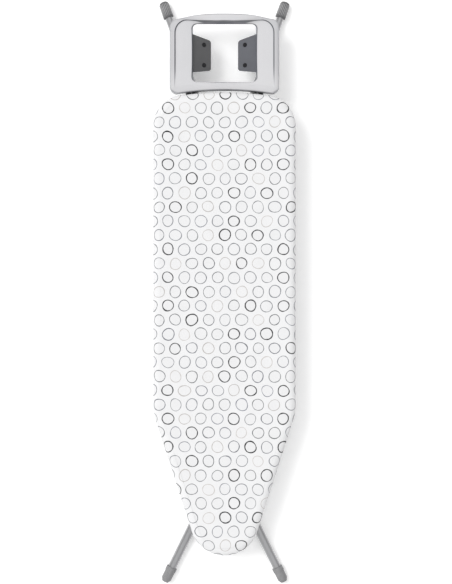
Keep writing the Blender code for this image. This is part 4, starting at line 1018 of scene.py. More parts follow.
def tube_enamel():
    """Silver enamel over drawn tube: long faint draw lines and light handling marks."""
    made, tree = new_finish("silver_tube_enamel", (0.40, 0.40, 0.41), 0.34, 0.90, Coat_Weight=0.12)
    lines = noise(tree, 700, 3, (1, 0.03, 1))
    marks = between(tree, noise(tree, 36, 6, seed=8), 0.30, 0.42, 0.4, 0.75)
    tone = blend_colours(tree, lines, (0.36, 0.36, 0.37), (0.46, 0.46, 0.47))
    rough = maths(tree, "ADD", marks, between(tree, lines, 0.0, 0.05))
    return dressed(made, tone, rough, lines, 0.00003, 0.4)


def leg_line(start, tube_x, foot_x, foot_y, splay, direction, steps=16):
    """A leg's centre line in its own frame: straight, round a bend, and out to its foot."""
    run = (abs(foot_x) - abs(tube_x)) / math.tan(splay)
    bend = Vector((tube_x, foot_y - direction * run, 0))
    tip = Vector((foot_x, foot_y, 0))
    ahead = (tip - bend).normalized()
    back = Vector((0, -direction, 0))
    half = back.angle(ahead) / 2
    centre = bend + (back + ahead).normalized() * BEND_RADIUS / math.sin(half)
    arm = BEND_RADIUS / math.tan(half)
    first, last = bend + back * arm - centre, bend + ahead * arm - centre
    line = [Vector((tube_x, start, 0))]
    line += [centre + BEND_RADIUS * first.slerp(last, i / steps) for i in range(steps + 1)]
    line.append(tip - ahead * (FOOT_LENGTH - FOOT_SOCKET))
    return line, tip, ahead


def tube_mesh(name, line, radius, place, mouth=1.0, sides=40):
    """A hollow tube along a flat line, its first end swaged to mouth times its width."""
    first = (line[1] - line[0]).normalized()
    line = [line[0], line[0] + first * 0.004, line[0] + first * 0.012] + line[1:]

    def rings(reach):
        made = []
        for i, point in enumerate(line):
            ahead = (line[min(i + 1, len(line) - 1)] - line[max(i - 1, 0)]).normalized()
            side = Vector((ahead.y, -ahead.x, 0))
            size = reach * (mouth if i < 2 else 1.0)
            spots = [point + side * size * c + Vector((0, 0, size * s)) for c, s in circle(sides)]
            made.append([place @ spot for spot in spots])
        return made

    return make_mesh(name, *skin(rings(radius) + rings(radius - TUBE_WALL)[::-1], "joined"), 50)


def weld_bead(name, centre, radius, place, thick=0.0016):
    """A rippled ring of weld round a tube that runs along Y."""
    rings = []
    turns = 44
    for i in range(turns):
        angle = 2 * math.pi * i / turns
        out = Vector((math.cos(angle), 0, math.sin(angle)))
        r = thick * (1 + 0.22 * math.sin(angle * 11))
        ring = [out * (radius + r * 0.5 * c) + Vector((0, r * s, 0)) for c, s in circle(8)]
        rings.append([place @ (Vector(centre) + spot) for spot in ring])
    return make_mesh(name, *skin(rings, "joined"), 80)


axle_low, axle_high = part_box("axle_rod")
AXLE = Vector((0, (axle_low[1] + axle_high[1]) / 2, (axle_low[2] + axle_high[2]) / 2))
SCISSOR = Vector((0, 0, AXLE.z - ARM_LENGTH * math.sin(FOLDED)))
front_place = Matrix.Translation(AXLE) @ Matrix.Rotation(FOLDED, 4, "X")
rear_place = Matrix.Translation(SCISSOR) @ Matrix.Rotation(-FOLDED, 4, "X")
enamel = tube_enamel()

smooth_round(
    "front_cross_tube", "front_axle_tube", enamel, "front_legs", "grey_enamel", bore=PIN_BORE
)
front_tips = {}
for side, sign in (("left", -1), ("right", 1)):
    line, tip, ahead = leg_line(
        -0.0083, sign * FRONT_TUBE_X, sign * FRONT_FOOT_X, -ARM_LENGTH - FOOT_REACH, FRONT_SPLAY, -1
    )
    front_tips[side] = (tip, ahead)
    mesh = tube_mesh("front_tube", line, FRONT_TUBE, front_place)
    finished("front_tube_" + side, mesh, enamel, "front_legs", "grey_enamel", "front_leg_" + side)
    bead = weld_bead("weld", (sign * FRONT_TUBE_X, -0.0088, 0), FRONT_TUBE, front_place)
    finished("front_weld_" + side, bead, enamel, "front_legs", "grey_enamel")


def tie_bar(name, node, place, body, rivet_x):
    """A flat steel tie with rounded ends and corners, and a rivet under each tube."""
    low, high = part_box(node)
    half = (high[0] - low[0]) / 2
    centre = place.inverted() @ Vector([(a + b) / 2 for a, b in zip(low, high)])
    width, thick, corner = 0.024, 0.0025, 0.005
    outline = []
    for cx, cy, start in ((1, 1, 0), (-1, 1, 90), (-1, -1, 180), (1, -1, 270)):
        for i in range(6):
            angle = math.radians(start + 90 * i / 5)
            outline.append(
                (
                    cx * (half - corner) + corner * math.cos(angle),
                    cy * (width / 2 - corner) + corner * math.sin(angle),
                )
            )
    rings = []
    for rise, back in ((-1, 0.0005), (-0.6, 0), (0.6, 0), (1, 0.0005)):
        shrink, narrow = 1 - back / half, 1 - back / (width / 2)
        rings.append(
            [
                place @ (centre + Vector((x * shrink, y * narrow, rise * thick / 2)))
                for x, y in outline
            ]
        )
    finished(name, make_mesh(name, *skin(rings)), paint, body, "grey_enamel", node)
    way = place.to_3x3() @ Vector((0, 0, -1))
    places = [
        (tuple(place @ (centre + Vector((x, 0, -thick / 2)))), tuple(way))
        for x in (-rivet_x, rivet_x)
    ]
    set_out(name + "_rivets", button_mesh("tie_rivet", 0.008, 0.0017), places, zinc, body, "zinc")


tie_bar("front_tie", "front_leg_tie", front_place, "front_legs", FRONT_TUBE_X)


# ---------------------------------------------------------------- nose feet
# Grey rubber caps pushed on the front tubes: a stippled skin, a collar at the
# mouth, and a chamfered end that stands on the floor.


def rubber_finish(name, colour, streak):
    """Moulded grey rubber: fine stipple, a chalky bloom, and pale scuffs among the stipple."""
    made, tree = new_finish(name, colour, 0.62)
    stipple = noise(tree, 1300, 2)
    bloom = noise(tree, 120, 5, seed=6)
    tone = blend_colours(tree, bloom, shaded(colour, 0.72), shaded(colour, 1.30))
    share = between(tree, stipple, 0, streak, 0.45, 0.65)
    tone = blend_colours(tree, share, tone, shaded(colour, 1.7))
    return dressed(made, tone, between(tree, bloom, 0.52, 0.74), stipple, 0.00014, 0.8)


def foot_mesh(name, tip, ahead, place, profile, bore, sides=48):
    """A cap turned round its tube. profile lists (distance back from the tip, radius)."""
    side = Vector((ahead.y, -ahead.x, 0))
    rings = []
    for back, radius in profile + [(FOOT_LENGTH, bore), (FOOT_LENGTH - FOOT_SOCKET, bore)]:
        middle = tip - ahead * back
        ring = [middle + side * radius * c + Vector((0, 0, radius * s)) for c, s in circle(sides)]
        rings.append([place @ spot for spot in ring])
    return make_mesh(name, *skin(rings))


rubber = rubber_finish("stippled_rubber", (0.215, 0.215, 0.22), 0.5)
NOSE_FOOT = [
    (0.0005, 0.0072),
    (0.0009, 0.0079),
    (0.0078, 0.0117),
    (0.0086, 0.0120),
    (0.0288, 0.0118),
    (0.0292, 0.0127),
    (0.0296, 0.01305),
    (0.0392, 0.01305),
    (0.0398, 0.0127),
    (0.0400, 0.0118),
]
for side, (tip, ahead) in front_tips.items():
    mesh = foot_mesh("nose_foot", tip, ahead, front_place, NOSE_FOOT, FRONT_TUBE + 0.0002)
    finished("nose_foot_" + side, mesh, rubber, "front_legs", "grey_rubber", "front_foot_" + side)


# ---------------------------------------------------------------- rear legs
# The inner pair, whose feet are at the iron rest: two thinner tubes, flattened
# a little at the sliding end, with a riveted tie under them.

REAR_TUBE, REAR_TUBE_X, REAR_FOOT_X, REAR_SPLAY = 0.0085, 0.011, 0.149, math.radians(19.5)

rear_tips = {}
for side, sign in (("left", -1), ("right", 1)):
    line, tip, ahead = leg_line(
        -0.3875, sign * REAR_TUBE_X, sign * REAR_FOOT_X, FOOT_REACH, REAR_SPLAY, 1
    )
    rear_tips[side] = (tip, ahead)
    mesh = tube_mesh("rear_tube", line, REAR_TUBE, rear_place, 0.97)
    finished("rear_tube_" + side, mesh, enamel, "rear_legs", "grey_enamel", "rear_leg_" + side)
tie_bar("rear_tie", "rear_leg_tie", rear_place, "rear_legs", REAR_TUBE_X)


# ---------------------------------------------------------------- heel feet
# Ribbed grey rubber caps on the rear tubes, flared at the mouth, with fine
# ribs moulded along the sides for grip.

HEEL_FOOT = [
    (0.0, 0.0064),
    (0.0004, 0.0072),
    (0.0020, 0.0099),
    (0.0052, 0.0111),
    (0.0062, 0.0113),
    (0.0350, 0.0114),
    (0.0366, 0.0122),
    (0.0392, 0.0125),
    (0.0400, 0.0121),
]
FOOT_RIB_COUNT = 18


def foot_ribs_tree():
    """Ribs set round a cap: a ring of points, each with a rounded bar along the cap."""
    inputs = {
        "Ribs": "Int",
        "Radius": "Float",
        "Length": "Float",
        "Rib Radius": "Float",
        "Finish": "Material",
    }
    tree, source, result = new_tree("foot_ribs", inputs)
    ring = wire(
        tree, "GeometryNodeMeshCircle", {"Vertices": source["Ribs"], "Radius": source["Radius"]}
    )
    bar = wire(
        tree,
        "GeometryNodeMeshCylinder",
        {
            "Vertices": 8,
            "Side Segments": 1,
            "Radius": source["Rib Radius"],
            "Depth": source["Length"],
        },
    )
    placed = wire(tree, "GeometryNodeInstanceOnPoints", {"Points": ring, "Instance": bar})
    real = wire(tree, "GeometryNodeRealizeInstances", {"Geometry": placed})
    spot = add_node(
        tree, "ShaderNodeSeparateXYZ", {0: wire(tree, "GeometryNodeInputPosition")}
    ).outputs
    end = maths(tree, "GREATER_THAN", maths(tree, "MULTIPLY", spot[2], -1.0), 0.0)
    pull = between(tree, end, 1.0, 0.955)
    drawn = wire(
        tree,
        "ShaderNodeCombineXYZ",
        {
            "X": maths(tree, "MULTIPLY", spot[0], pull),
            "Y": maths(tree, "MULTIPLY", spot[1], pull),
            "Z": spot[2],
        },
    )
    shaped = wire(tree, "GeometryNodeSetPosition", {"Geometry": real, "Position": drawn})
    return finish_tree(tree, source, result, shaped)


# One rubber in two greys: painted light on the ribs, and painted shade on the cap in the grooves
# between them.
painted_light_rib_rubber = rubber_finish("painted_light_rib_rubber", (0.34, 0.34, 0.345), 0.3)
painted_shade_groove_rubber = rubber_finish("painted_shade_groove_rubber", (0.125, 0.125, 0.13), 0.2)
ribs_tree = foot_ribs_tree()
for side, (tip, ahead) in rear_tips.items():
    mesh = foot_mesh("heel_foot", tip, ahead, rear_place, HEEL_FOOT, REAR_TUBE + 0.0002)
    name, node = "heel_foot_" + side, "rear_foot_" + side
    finished(name, mesh, painted_shade_groove_rubber, "rear_legs", "grey_rubber", node)
    empty = bpy.data.meshes.new("rib_start")
    empty.from_pydata([(0, 0, 0)], [], [])
    ribs = grow(
        "heel_foot_ribs_" + side,
        ribs_tree,
        empty,
        {
            "Ribs": FOOT_RIB_COUNT,
            "Radius": 0.01145,
            "Length": 0.0300,
            "Rib Radius": 0.00100,
            "Finish": painted_light_rib_rubber,
        },
    )
    turn = (-ahead).to_track_quat("Z", "X").to_matrix().to_4x4()
    ribs.data.transform(rear_place @ Matrix.Translation(tip - ahead * 0.0205) @ turn)
    ribs.data.shade_smooth()
    finished("heel_foot_ribs_" + side, ribs, None, "rear_legs", "grey_rubber")


# ---------------------------------------------------------------- scissor pivot
# A zinc bolt through all four tubes with its locknut, and black plastic
# washers between the tubes that keep them off each other.


def hexagon(angle):
    sixth = math.pi / 3
    return math.cos(sixth / 2) / math.cos(angle % sixth - sixth / 2)


def hex_head_rings(start, end, corner, centre, sides=60):
    """A hexagon bar end with the usual turned chamfer on its corners."""
    rings = []
    for along, cap in ((start, 9.0), (end - (end - start) * 0.22, 9.0), (end, corner * 0.86)):
        ring = []
        for k, (c, s) in enumerate(circle(sides)):
            r = min(corner * hexagon(math.tau * k / sides), cap)
            ring.append(Vector((along, r * c, r * s)) + Vector(centre))
        rings.append(ring)
    return rings


pivot = (0.0, SCISSOR.y, SCISSOR.z)
bolt_low, bolt_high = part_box("pivot_bolt")
nut_low, nut_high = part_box("pivot_nut")
corner = 0.0075
head_rings = hex_head_rings(-nut_high[0], bolt_high[0], corner, pivot)
head = make_mesh("bolt_head", *skin(head_rings), 25)
threads = [(bolt_high[0] - 0.004, 0.0039), (nut_low[0] + 0.0006, 0.0039)]
steps = 8
for i in range(steps + 1):
    along = nut_low[0] - (nut_low[0] - bolt_low[0]) * i / steps * 0.9
    threads.append((along, 0.0040 if i % 2 else 0.0036))
threads.append((bolt_low[0], 0.0031))
shank = lathe_mesh("bolt_shank", threads, 32, "X", pivot)
work = bmesh.new()
work.from_mesh(head)
work.from_mesh(shank)
work.to_mesh(head)
work.free()
finished("pivot_bolt_turned", head, zinc, "front_legs", "zinc", "pivot_bolt")
nut_rings = hex_head_rings(nut_high[0], nut_low[0] + 0.0012, corner, pivot)
for along, radius in (
    (nut_low[0] + 0.0010, 0.0060), (nut_low[0], 0.0054), (nut_low[0], 0.0041), (nut_high[0], 0.0041)
):
    ring = [Vector((along, radius * c, radius * s)) for c, s in circle(60)]
    nut_rings.append([spot + Vector(pivot) for spot in ring])
nut = make_mesh("lock_nut", *skin(nut_rings, "joined"), 25)
finished("pivot_locknut", nut, zinc, "front_legs", "zinc", "pivot_nut")
for label in ("centre", "left", "right"):
    smooth_round(
        "pivot_washer_" + label,
        "pivot_spacer_" + label,
        black_plastic,
        "rear_legs",
        "black_plastic",
        bore=0.0044,
        edge=0.0005,
    )


# ---------------------------------------------------------------- slide rod
# The rod across the inner legs' ends that runs in the two rack slots: zinc
# steel, with a plastic bush in each slot and a spring clip outside it.



def spread(angle):
    """A clip's outline: three fingers, like a pushed-on spring washer."""
    return 1.0 - 0.16 * max(0.0, math.cos(angle * 3)) ** 6


smooth_round("slide_rod_turned", "slide_rod", zinc, "rear_legs", "zinc", edge=0.0009)
for side in ("left", "right"):
    low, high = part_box("slide_bush_" + side)
    centre = (0, (low[1] + high[1]) / 2, (low[2] + high[2]) / 2)
    radius = (high[2] - low[2]) / 2
    middle = (low[0] + high[0]) / 2
    reach = (high[0] - low[0]) / 2
    profile = [(-1, radius - 0.0004), (-0.93, radius), (0.93, radius), (1, radius - 0.0004)]
    profile = [(middle + a * reach, r) for a, r in profile]
    profile += [(high[0], PIN_BORE), (low[0], PIN_BORE)]
    mesh = lathe_mesh("slide_bush", profile, 40, "X", centre, "joined")
    name, node = "slide_bush_turned_" + side, "slide_bush_" + side
    finished(name, mesh, black_plastic, "rear_legs", "black_plastic", node)
    low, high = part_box("slide_clip_" + side)
    radius = (high[2] - low[2]) / 2
    middle = (low[0] + high[0]) / 2
    profile = [
        (low[0], PIN_BORE),
        (middle - 0.0006, radius * 0.86),
        (middle - 0.0004, radius),
        (middle + 0.0004, radius),
        (middle + 0.0006, radius * 0.86),
        (high[0], PIN_BORE),
    ]
    mesh = lathe_mesh("spring_clip", profile, 48, "X", centre, "joined", spread)
    finished("slide_clip_pressed_" + side, mesh, zinc, "rear_legs", "zinc", "slide_clip_" + side)


# ---------------------------------------------------------------- height catch
# A zinc strip hinged along one rack rail, whose notched flange drops over the
# slide rod. A torsion spring of round wire on the hinge rod keeps it down.

coat(zinc, "catch_plate", "lever_arm")
smooth_round("catch_hinge_turned", "catch_hinge_rod", zinc, "board", "zinc", axis="Y", edge=0.0008)


def spring_mesh():
    """Close turns of round wire."""
    low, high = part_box("catch_spring")
    gauge = 0.0006
    centre = Vector(((low[0] + high[0]) / 2, 0, (low[2] + high[2]) / 2))
    coil = (high[0] - low[0]) / 2 - gauge
    start, end = low[1] + gauge, high[1] - gauge
    path = []
    steps = 4 * 24
    for i in range(steps + 1):
        angle = math.tau * i / 24
        out = Vector((math.cos(angle), 0, math.sin(angle)))
        path.append(centre + out * coil + Vector((0, start + (end - start) * i / steps, 0)))
    rings = []
    for i, point in enumerate(path):
        ahead = (path[min(i + 1, steps)] - path[max(i - 1, 0)]).normalized()
        out = (point - Vector((centre.x, point.y, centre.z))).normalized()
        across = ahead.cross(out)
        rings.append([point + (out * c + across * s) * gauge for c, s in circle(10)])
    return make_mesh("torsion_spring", *skin(rings), 60)


finished("torsion_spring", spring_mesh(), zinc, "board", "zinc", "catch_spring")
arm_low, arm_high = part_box("lever_arm")
arm_y = (arm_low[1] + arm_high[1]) / 2
set_out(
    "lever_rivets",
    button_mesh("lever_rivet", 0.006, 0.0012),
    [((x, arm_y, arm_high[2]), (0.0, 0.0, 1.0)) for x in (0.011, 0.023)],
    zinc,
    "catch",
    "zinc",
)


# ---------------------------------------------------------------- lever grip
# The height lever's black plastic grip, pushed on the arm's end: a rounded
# bar with a hollow for two fingers and fine ribs across it.


def grip_mesh():
    low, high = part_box("lever_grip")
    centre = [(a + b) / 2 for a, b in zip(low, high)]
    length = high[0] - low[0]
    rings = []
    stations = 60
    for i in range(stations + 1):
        share = i / stations
        end = min(share, 1 - share) * length
        soft = 1.0 if end > 0.004 else math.sqrt(max(0.0, 1 - (1 - end / 0.004) ** 2)) * 0.5 + 0.5
        hollow = 1 - 0.10 * math.sin(math.pi * min(1, max(0, (share - 0.12) / 0.76))) ** 2
        rib = 0.0
        if 0.22 < share < 0.78:
            rib = 0.00045 * max(0.0, math.sin((share - 0.22) * math.pi * 2 * 13))
        half_y = (high[1] - low[1]) / 2 * soft * hollow - rib
        half_z = (high[2] - low[2]) / 2 * soft - rib
        ring = []
        for c, s in circle(48):
            y = math.copysign(abs(c) ** 0.42, c) * half_y
            z = math.copysign(abs(s) ** 0.55, s) * half_z
            ring.append((low[0] + length * share, centre[1] + y, centre[2] + z))
        rings.append(ring)
    return make_mesh("finger_grip", *skin(rings), 40)


finished("finger_grip", grip_mesh(), black_plastic, "catch", "black_plastic", "lever_grip")


# ---------------------------------------------------------------- iron rest
# The pull-out rest for the iron: a frame moulded in silver plastic, with a
# raised rim, dished wings, a stand-up lip at the back and skirts underneath.

REST_FRONT_Y, REST_HALF, REST_LENGTH = 0.473, 0.131, 0.179
REST_CORNER, REST_HOLLOW, REST_BULGE = 0.018, 0.008, 0.012
OPENING_HALF, OPENING_Y, OPENING_CORNER = 0.0765, (0.502, 0.640), 0.012
REST_WALL, REST_RIM, DISH_DEPTH, LIP_HEIGHT, INNER_SKIRT = 0.002, 0.013, 0.004, 0.008, 0.009
RECESS_HALF, RECESS_CORNER, RECESS_BACK = 0.1190, 0.031, 0.6455
RECESS_FALL, RECESS_WAIST = 0.0040, 0.095


def round_frame(low, high, radius, bulges, corner_steps, side_steps):
    """A rectangle with round corners whose sides bow out. It starts front left, anticlockwise."""
    corners = [(low[0], low[1]), (high[0], low[1]), (high[0], high[1]), (low[0], high[1])]
    points = []
    for i, corner in enumerate(corners):
        corner = Vector(corner)
        before = (Vector(corners[i - 1]) - corner).normalized()
        after = (Vector(corners[(i + 1) % 4]) - corner).normalized()
        centre = corner + (before + after) * radius
        for k in range(corner_steps + 1):
            turn = math.pi / 2 * k / corner_steps
            c, s = math.cos(turn), math.sin(turn)
            points.append(centre - after * radius * c - before * radius * s)
        start, end = points[-1], Vector(corners[(i + 1) % 4]) - after * radius
        square = Vector((after.y, -after.x))
        for k in range(1, side_steps):
            share = k / side_steps
            bow = bulges[i] * (1 - abs(2 * share - 1) ** 2.3)
            points.append(start.lerp(end, share) + square * bow)
    return points


def make_rest():
    skirt_z, top_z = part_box("rest_tray")[0][2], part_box("rest_tray")[1][2] - LIP_HEIGHT
    rear_y = REST_FRONT_Y + REST_LENGTH
    steps = (12, 36)
    outside = round_frame(
        (-REST_HALF, REST_FRONT_Y),
        (REST_HALF, rear_y),
        REST_CORNER,
        (-REST_HOLLOW, 0, REST_BULGE, 0),
        *steps,
    )
    opening = round_frame(
        (-OPENING_HALF, OPENING_Y[0]),
        (OPENING_HALF, OPENING_Y[1]),
        OPENING_CORNER,
        (0, -0.0012, 0.0, -0.0012),
        *steps,
    )
    dish_z = top_z - DISH_DEPTH

    def in_recess(spot):
        """Whether a spot in plan is inside the line where the rim steps down to the wings."""
        x, y = abs(spot.x), spot.y
        back = RECESS_BACK + RECESS_FALL * min(1.0, x / RECESS_WAIST) ** 2
        front = REST_FRONT_Y + REST_RIM + REST_HOLLOW * (1 - (x / REST_HALF) ** 2)
        if x > RECESS_HALF or y > back or y < front:
            return False
        away_x, away_y = x - (RECESS_HALF - RECESS_CORNER), y - (back - RECESS_CORNER)
        return away_x < 0 or away_y < 0 or math.hypot(away_x, away_y) < RECESS_CORNER

    lips, dishes, rims, starts, bands, shades, backs = [], [], [], [], [], [], []
    for out, hole in zip(outside, opening):
        share = 0.0
        if out.y > OPENING_Y[1]:
            across = min(1.0, abs(out.x) / (REST_HALF * 0.75))
            share = (1 - across**4) ** 1.5
        lips.append(share * LIP_HEIGHT)
        shades.append(smooth_step(out.y, 0.482, 0.545))
        dishes.append(top_z - DISH_DEPTH * (0.12 + 0.88 * smooth_step(out.y, 0.478, 0.530)))
        bands.append((hole - out).length)
        low, high = 0.0035, bands[-1] - 0.0062
        for _ in range(24):
            middle = (low + high) / 2
            if in_recess(out + (hole - out).normalized() * middle):
                high = middle
            else:
                low = middle
        rims.append(high)
        spare = max(0.0, bands[-1] - 0.0058 - high)
        starts.append(high + 0.0010)
        if share:
            starts[-1] += (spare - 0.0002) * min(1.0, share * 1.6)
        backs.append(min(1.0, share * 2.5))

    def ring(place):
        """A ring across the band. place(i) gives how far in from outside, and the level."""
        made = []
        for i, (out, hole) in enumerate(zip(outside, opening)):
            far, level = place(i)
            spot = out + (hole - out).normalized() * far
            made.append((spot.x, spot.y, level))
        return made

    def groove(i):
        return 0.0007 * smooth_step(outside[i].y, 0.478, 0.540) * (1 - backs[i])

    def sag(i, share):
        return dishes[i] - 0.0016 * share * share

    def crown(i, share):
        """The rim's upper face, which falls away a little towards its outer edge."""
        return top_z + lips[i] - 0.0026 * (1 - share) ** 2 * (1 - 0.6 * backs[i])

    # Each ring carries a mark: how much painted shade the finish lays on it. That means dark
    # painted outlines on the outer wall and round the opening, and painted shade on the rim, the
    # step and the lip's rear face.
    rings, marks = [], []

    def add(place, mark=lambda i: 0.0):
        rings.append(ring(place))
        marks.append(mark)

    # Painted shade by place. The rim is a little darker, partly a different surface on the rim and
    # partly painted shade on its outward slope. The step down to the wings and the lip's rear face
    # are dark with painted shade.
    def rim_tone_and_painted_shade(i):
        return 0.16 * shades[i] * (1 - backs[i])

    def painted_step_shade(i):
        return shades[i] * (1 - 0.25 * backs[i])

    def painted_back_shade(i):
        return 0.88 * backs[i]

    # The outer wall and its top edge: painted shade, a dark outline along the tray's outer edge.
    add(lambda i: (0.0004, skirt_z), lambda i: 0.45)
    add(lambda i: (0.0, skirt_z + 0.0005), lambda i: 0.45)
    add(lambda i: (0.0017, crown(i, 0) - 0.0020), lambda i: 0.75)
    add(lambda i: (0.0021, crown(i, 0) - 0.0010), lambda i: 0.45)
    for share in (0.24, 0.30, 0.42, 0.58, 0.76, 0.90):
        add(lambda i, t=share: (rims[i] * t, crown(i, (t - 0.16) / 0.84)), rim_tone_and_painted_shade)
    for a in map(math.radians, (0, 30, 60, 90)):
        add(
            lambda i, a=a: (
                rims[i] - 0.0008 + 0.0008 * math.sin(a),
                top_z + lips[i] - min(0.0008, top_z + lips[i] - dishes[i]) * (1 - math.cos(a)),
            ),
            rim_tone_and_painted_shade,
        )
    for t in (0.15, 0.4, 0.65, 0.9):
        add(
            lambda i, t=t: (
                rims[i] + (starts[i] - rims[i]) * t,
                dishes[i] + max(0.0, top_z + lips[i] - 0.0008 - dishes[i]) * (1 - t),
            ),
            painted_step_shade,
        )
    add(lambda i: (starts[i], dishes[i] - groove(i)), painted_step_shade)
    add(lambda i: (starts[i] + 0.0009, dishes[i] - groove(i)), painted_step_shade)
    add(lambda i: (starts[i] + 0.0013, dishes[i] - 0.0001), painted_back_shade)
    add(lambda i: (starts[i] + 0.0018, dishes[i]), painted_back_shade)
    for t in (0.15, 0.35, 0.55, 0.75, 0.9, 1.0):
        add(
            lambda i, t=t: (
                starts[i] + 0.0018 + max(0.0003, bands[i] - 0.0033 - starts[i] - 0.0018) * t,
                sag(i, t),
            ),
            painted_back_shade,
        )
    for a in map(math.radians, (25, 50, 75)):
        add(
            lambda i, a=a: (
                bands[i] - 0.0033 + 0.0009 * math.sin(a), sag(i, 1) - 0.0009 * (1 - math.cos(a))
            ),
            painted_back_shade,
        )
    # The opening's edge and the top of its inner skirt: full painted shade, a dark outline round
    # the opening.
    add(lambda i: (bands[i] - 0.0023, sag(i, 1) - 0.0010), lambda i: 1.0)
    add(lambda i: (bands[i], dish_z - INNER_SKIRT + 0.0008), lambda i: 1.0)
    add(lambda i: (bands[i] - 0.0006, dish_z - INNER_SKIRT), lambda i: 1.0)
    add(lambda i: (bands[i] - REST_WALL, dish_z - INNER_SKIRT))
    add(lambda i: (bands[i] - REST_WALL, sag(i, 1) - 0.0038))
    add(lambda i: (bands[i] - 0.0055, sag(i, 0.8) - 0.0021))
    add(lambda i: (min(starts[i] - 0.0002, bands[i] - 0.0060), dishes[i] - 0.0022))
    add(lambda i: (rims[i] - 0.0006, dishes[i] - 0.0016))
    add(lambda i: (rims[i] - 0.0022, top_z + lips[i] - 0.0026))
    add(lambda i: (min(0.0046, rims[i] - 0.0024), crown(i, 0.2) - 0.0022))
    add(lambda i: (REST_WALL + 0.0006, crown(i, 0) - 0.0046))
    add(lambda i: (REST_WALL, skirt_z))
    points, faces = skin(rings, "joined")
    mesh = bpy.data.meshes.new("rest_moulding")
    mesh.from_pydata([tuple(p) for p in points], [], faces)
    # Each point's mark goes into a point attribute, which the finish reads as painted shade.
    tone = mesh.attributes.new("painted_shade_mark", "FLOAT", "POINT")
    values = []
    for mark in marks:
        values += [mark(i) for i in range(len(outside))]
    tone.data.foreach_set("value", values)
    turned_out(mesh)
    mesh.set_sharp_from_angle(angle=math.radians(50))
    return mesh


def silver_plastic_finish():
    """Silver-grey satin plastic: a metallic fleck, faint flow marks, a fine grain, and near-black
    painted shade read from the moulding's point attribute.
    """
    made, tree = new_finish("silver_satin_plastic", (0.60, 0.60, 0.615), 0.36, 0.30)
    fleck = noise(tree, 1500, 2)
    flow = noise(tree, 16, 3, (1, 0.4, 1), seed=3)
    tone = blend_colours(tree, flow, (0.56, 0.56, 0.578), (0.64, 0.635, 0.645))
    tone = blend_colours(tree, between(tree, fleck, 0, 0.4, 0.5, 0.7), tone, (0.74, 0.74, 0.76))
    # Painted shade: the point attribute blends the silver towards near-black along the outlines,
    # the rim, the step and the rear face.
    face = add_node(tree, "ShaderNodeAttribute", attribute_name="painted_shade_mark").outputs["Fac"]
    tone = blend_colours(tree, maths(tree, "MULTIPLY", face, 0.90), tone, (0.10, 0.11, 0.13))
    return dressed(made, tone, between(tree, fleck, 0.32, 0.44), fleck, 0.00003, 0.4)


silver_plastic = silver_plastic_finish()
finished("rest_moulding", make_rest(), silver_plastic, "iron_rest", "silver_plastic", "rest_tray")


# ---------------------------------------------------------------- rest ribs and bosses
# Under the moulding: a screw boss over each rod, and thin stiffening ribs
# moulded across the wings, as on any plastic frame of this size.

ROD_X, SCREW_Y, RIB_TOP = 0.079, (0.492, 0.646), 0.0828
skirt_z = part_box("rest_tray")[0][2]


def rib_box(low, high):
    """A thin rib, slightly narrower at its free edge, as it must be to leave the mould."""
    x1, y1, z1 = low
    x2, y2, z2 = high
    thin_x, thin_y = (0.0003, 0) if x2 - x1 < y2 - y1 else (0, 0.0003)
    rings = []
    for z, off_x, off_y in ((z1, thin_x, thin_y), (z2, 0, 0)):
        left, right, near, far = x1 + off_x, x2 - off_x, y1 + off_y, y2 - off_y
        rings.append([(left, near, z), (right, near, z), (right, far, z), (left, far, z)])
    return skin(rings)


points, faces = [], []


def gather(more):
    start = len(points)
    points.extend(more[0])
    faces.extend(tuple(i + start for i in face) for face in more[1])


for sign in (-1, 1):
    for y in (0.515, 0.548, 0.581, 0.614):
        x1, x2 = sorted((sign * 0.091, sign * 0.1285))
        gather(rib_box((x1, y - 0.0006, 0.0740), (x2, y + 0.0006, RIB_TOP)))
    x1, x2 = sorted((sign * 0.1085, sign * 0.1097))
    gather(rib_box((x1, 0.500, 0.0745), (x2, 0.632, RIB_TOP)))
    for screw_y in SCREW_Y:
        back = 0.0075 if screw_y > 0.6 else 0.0085
        front = 0.004 if screw_y > 0.6 else 0.0085
        for side, near, far in ((0.0085, 0.0005, 0.0005), (0, front, back)):
            x1, x2 = sign * ROD_X - side - 0.0005, sign * ROD_X + side + 0.0005
            gather(rib_box((x1, screw_y - near, 0.0712), (x2, screw_y + far, RIB_TOP)))
        profile = [(skirt_z, 0.0024), (skirt_z, 0.0047)]
        profile += [(skirt_z + 0.0004, 0.005), (RIB_TOP, 0.0052)]
        boss = []
        for level, radius in profile:
            boss.append(
                [(sign * ROD_X + radius * c, screw_y + radius * s, level) for c, s in circle(32)]
            )
        gather(skin(boss))
mesh = make_mesh("rest_ribs", points, faces)
finished("rest_ribs", mesh, silver_plastic, "iron_rest", "silver_plastic")


# ---------------------------------------------------------------- heat pads
# Two heat-proof plates of graphite silicone on steel, which slope down into
# the opening and carry the hot sole, each held by two sunk black studs.

PAD_REACH, PAD_SLOPE, PAD_THICK = 0.044, math.radians(25.0), 0.0025
PAD_ROOT, PAD_TIP = (0.5255, 0.617), (0.532, 0.604)
STUD_X, STUD_Y, STUD_SIZE = 0.049, (0.544, 0.593), 1.35
pad_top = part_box("rest_pad_left")[1][2]


def silicone_finish(name, colour, sheen):
    """Heat-proof silicone: a fine matt skin with a cloudy, dusty bloom."""
    made, tree = new_finish(name, colour, 0.55, Sheen_Weight=sheen)
    cloud = noise(tree, 45, 5, seed=4)
    tone = blend_colours(tree, cloud, shaded(colour, 0.86), shaded(colour, 1.16))
    rough = between(tree, cloud, 0.48, 0.66)
    return dressed(made, tone, rough, noise(tree, 1100, 3), 0.00007, 0.5)


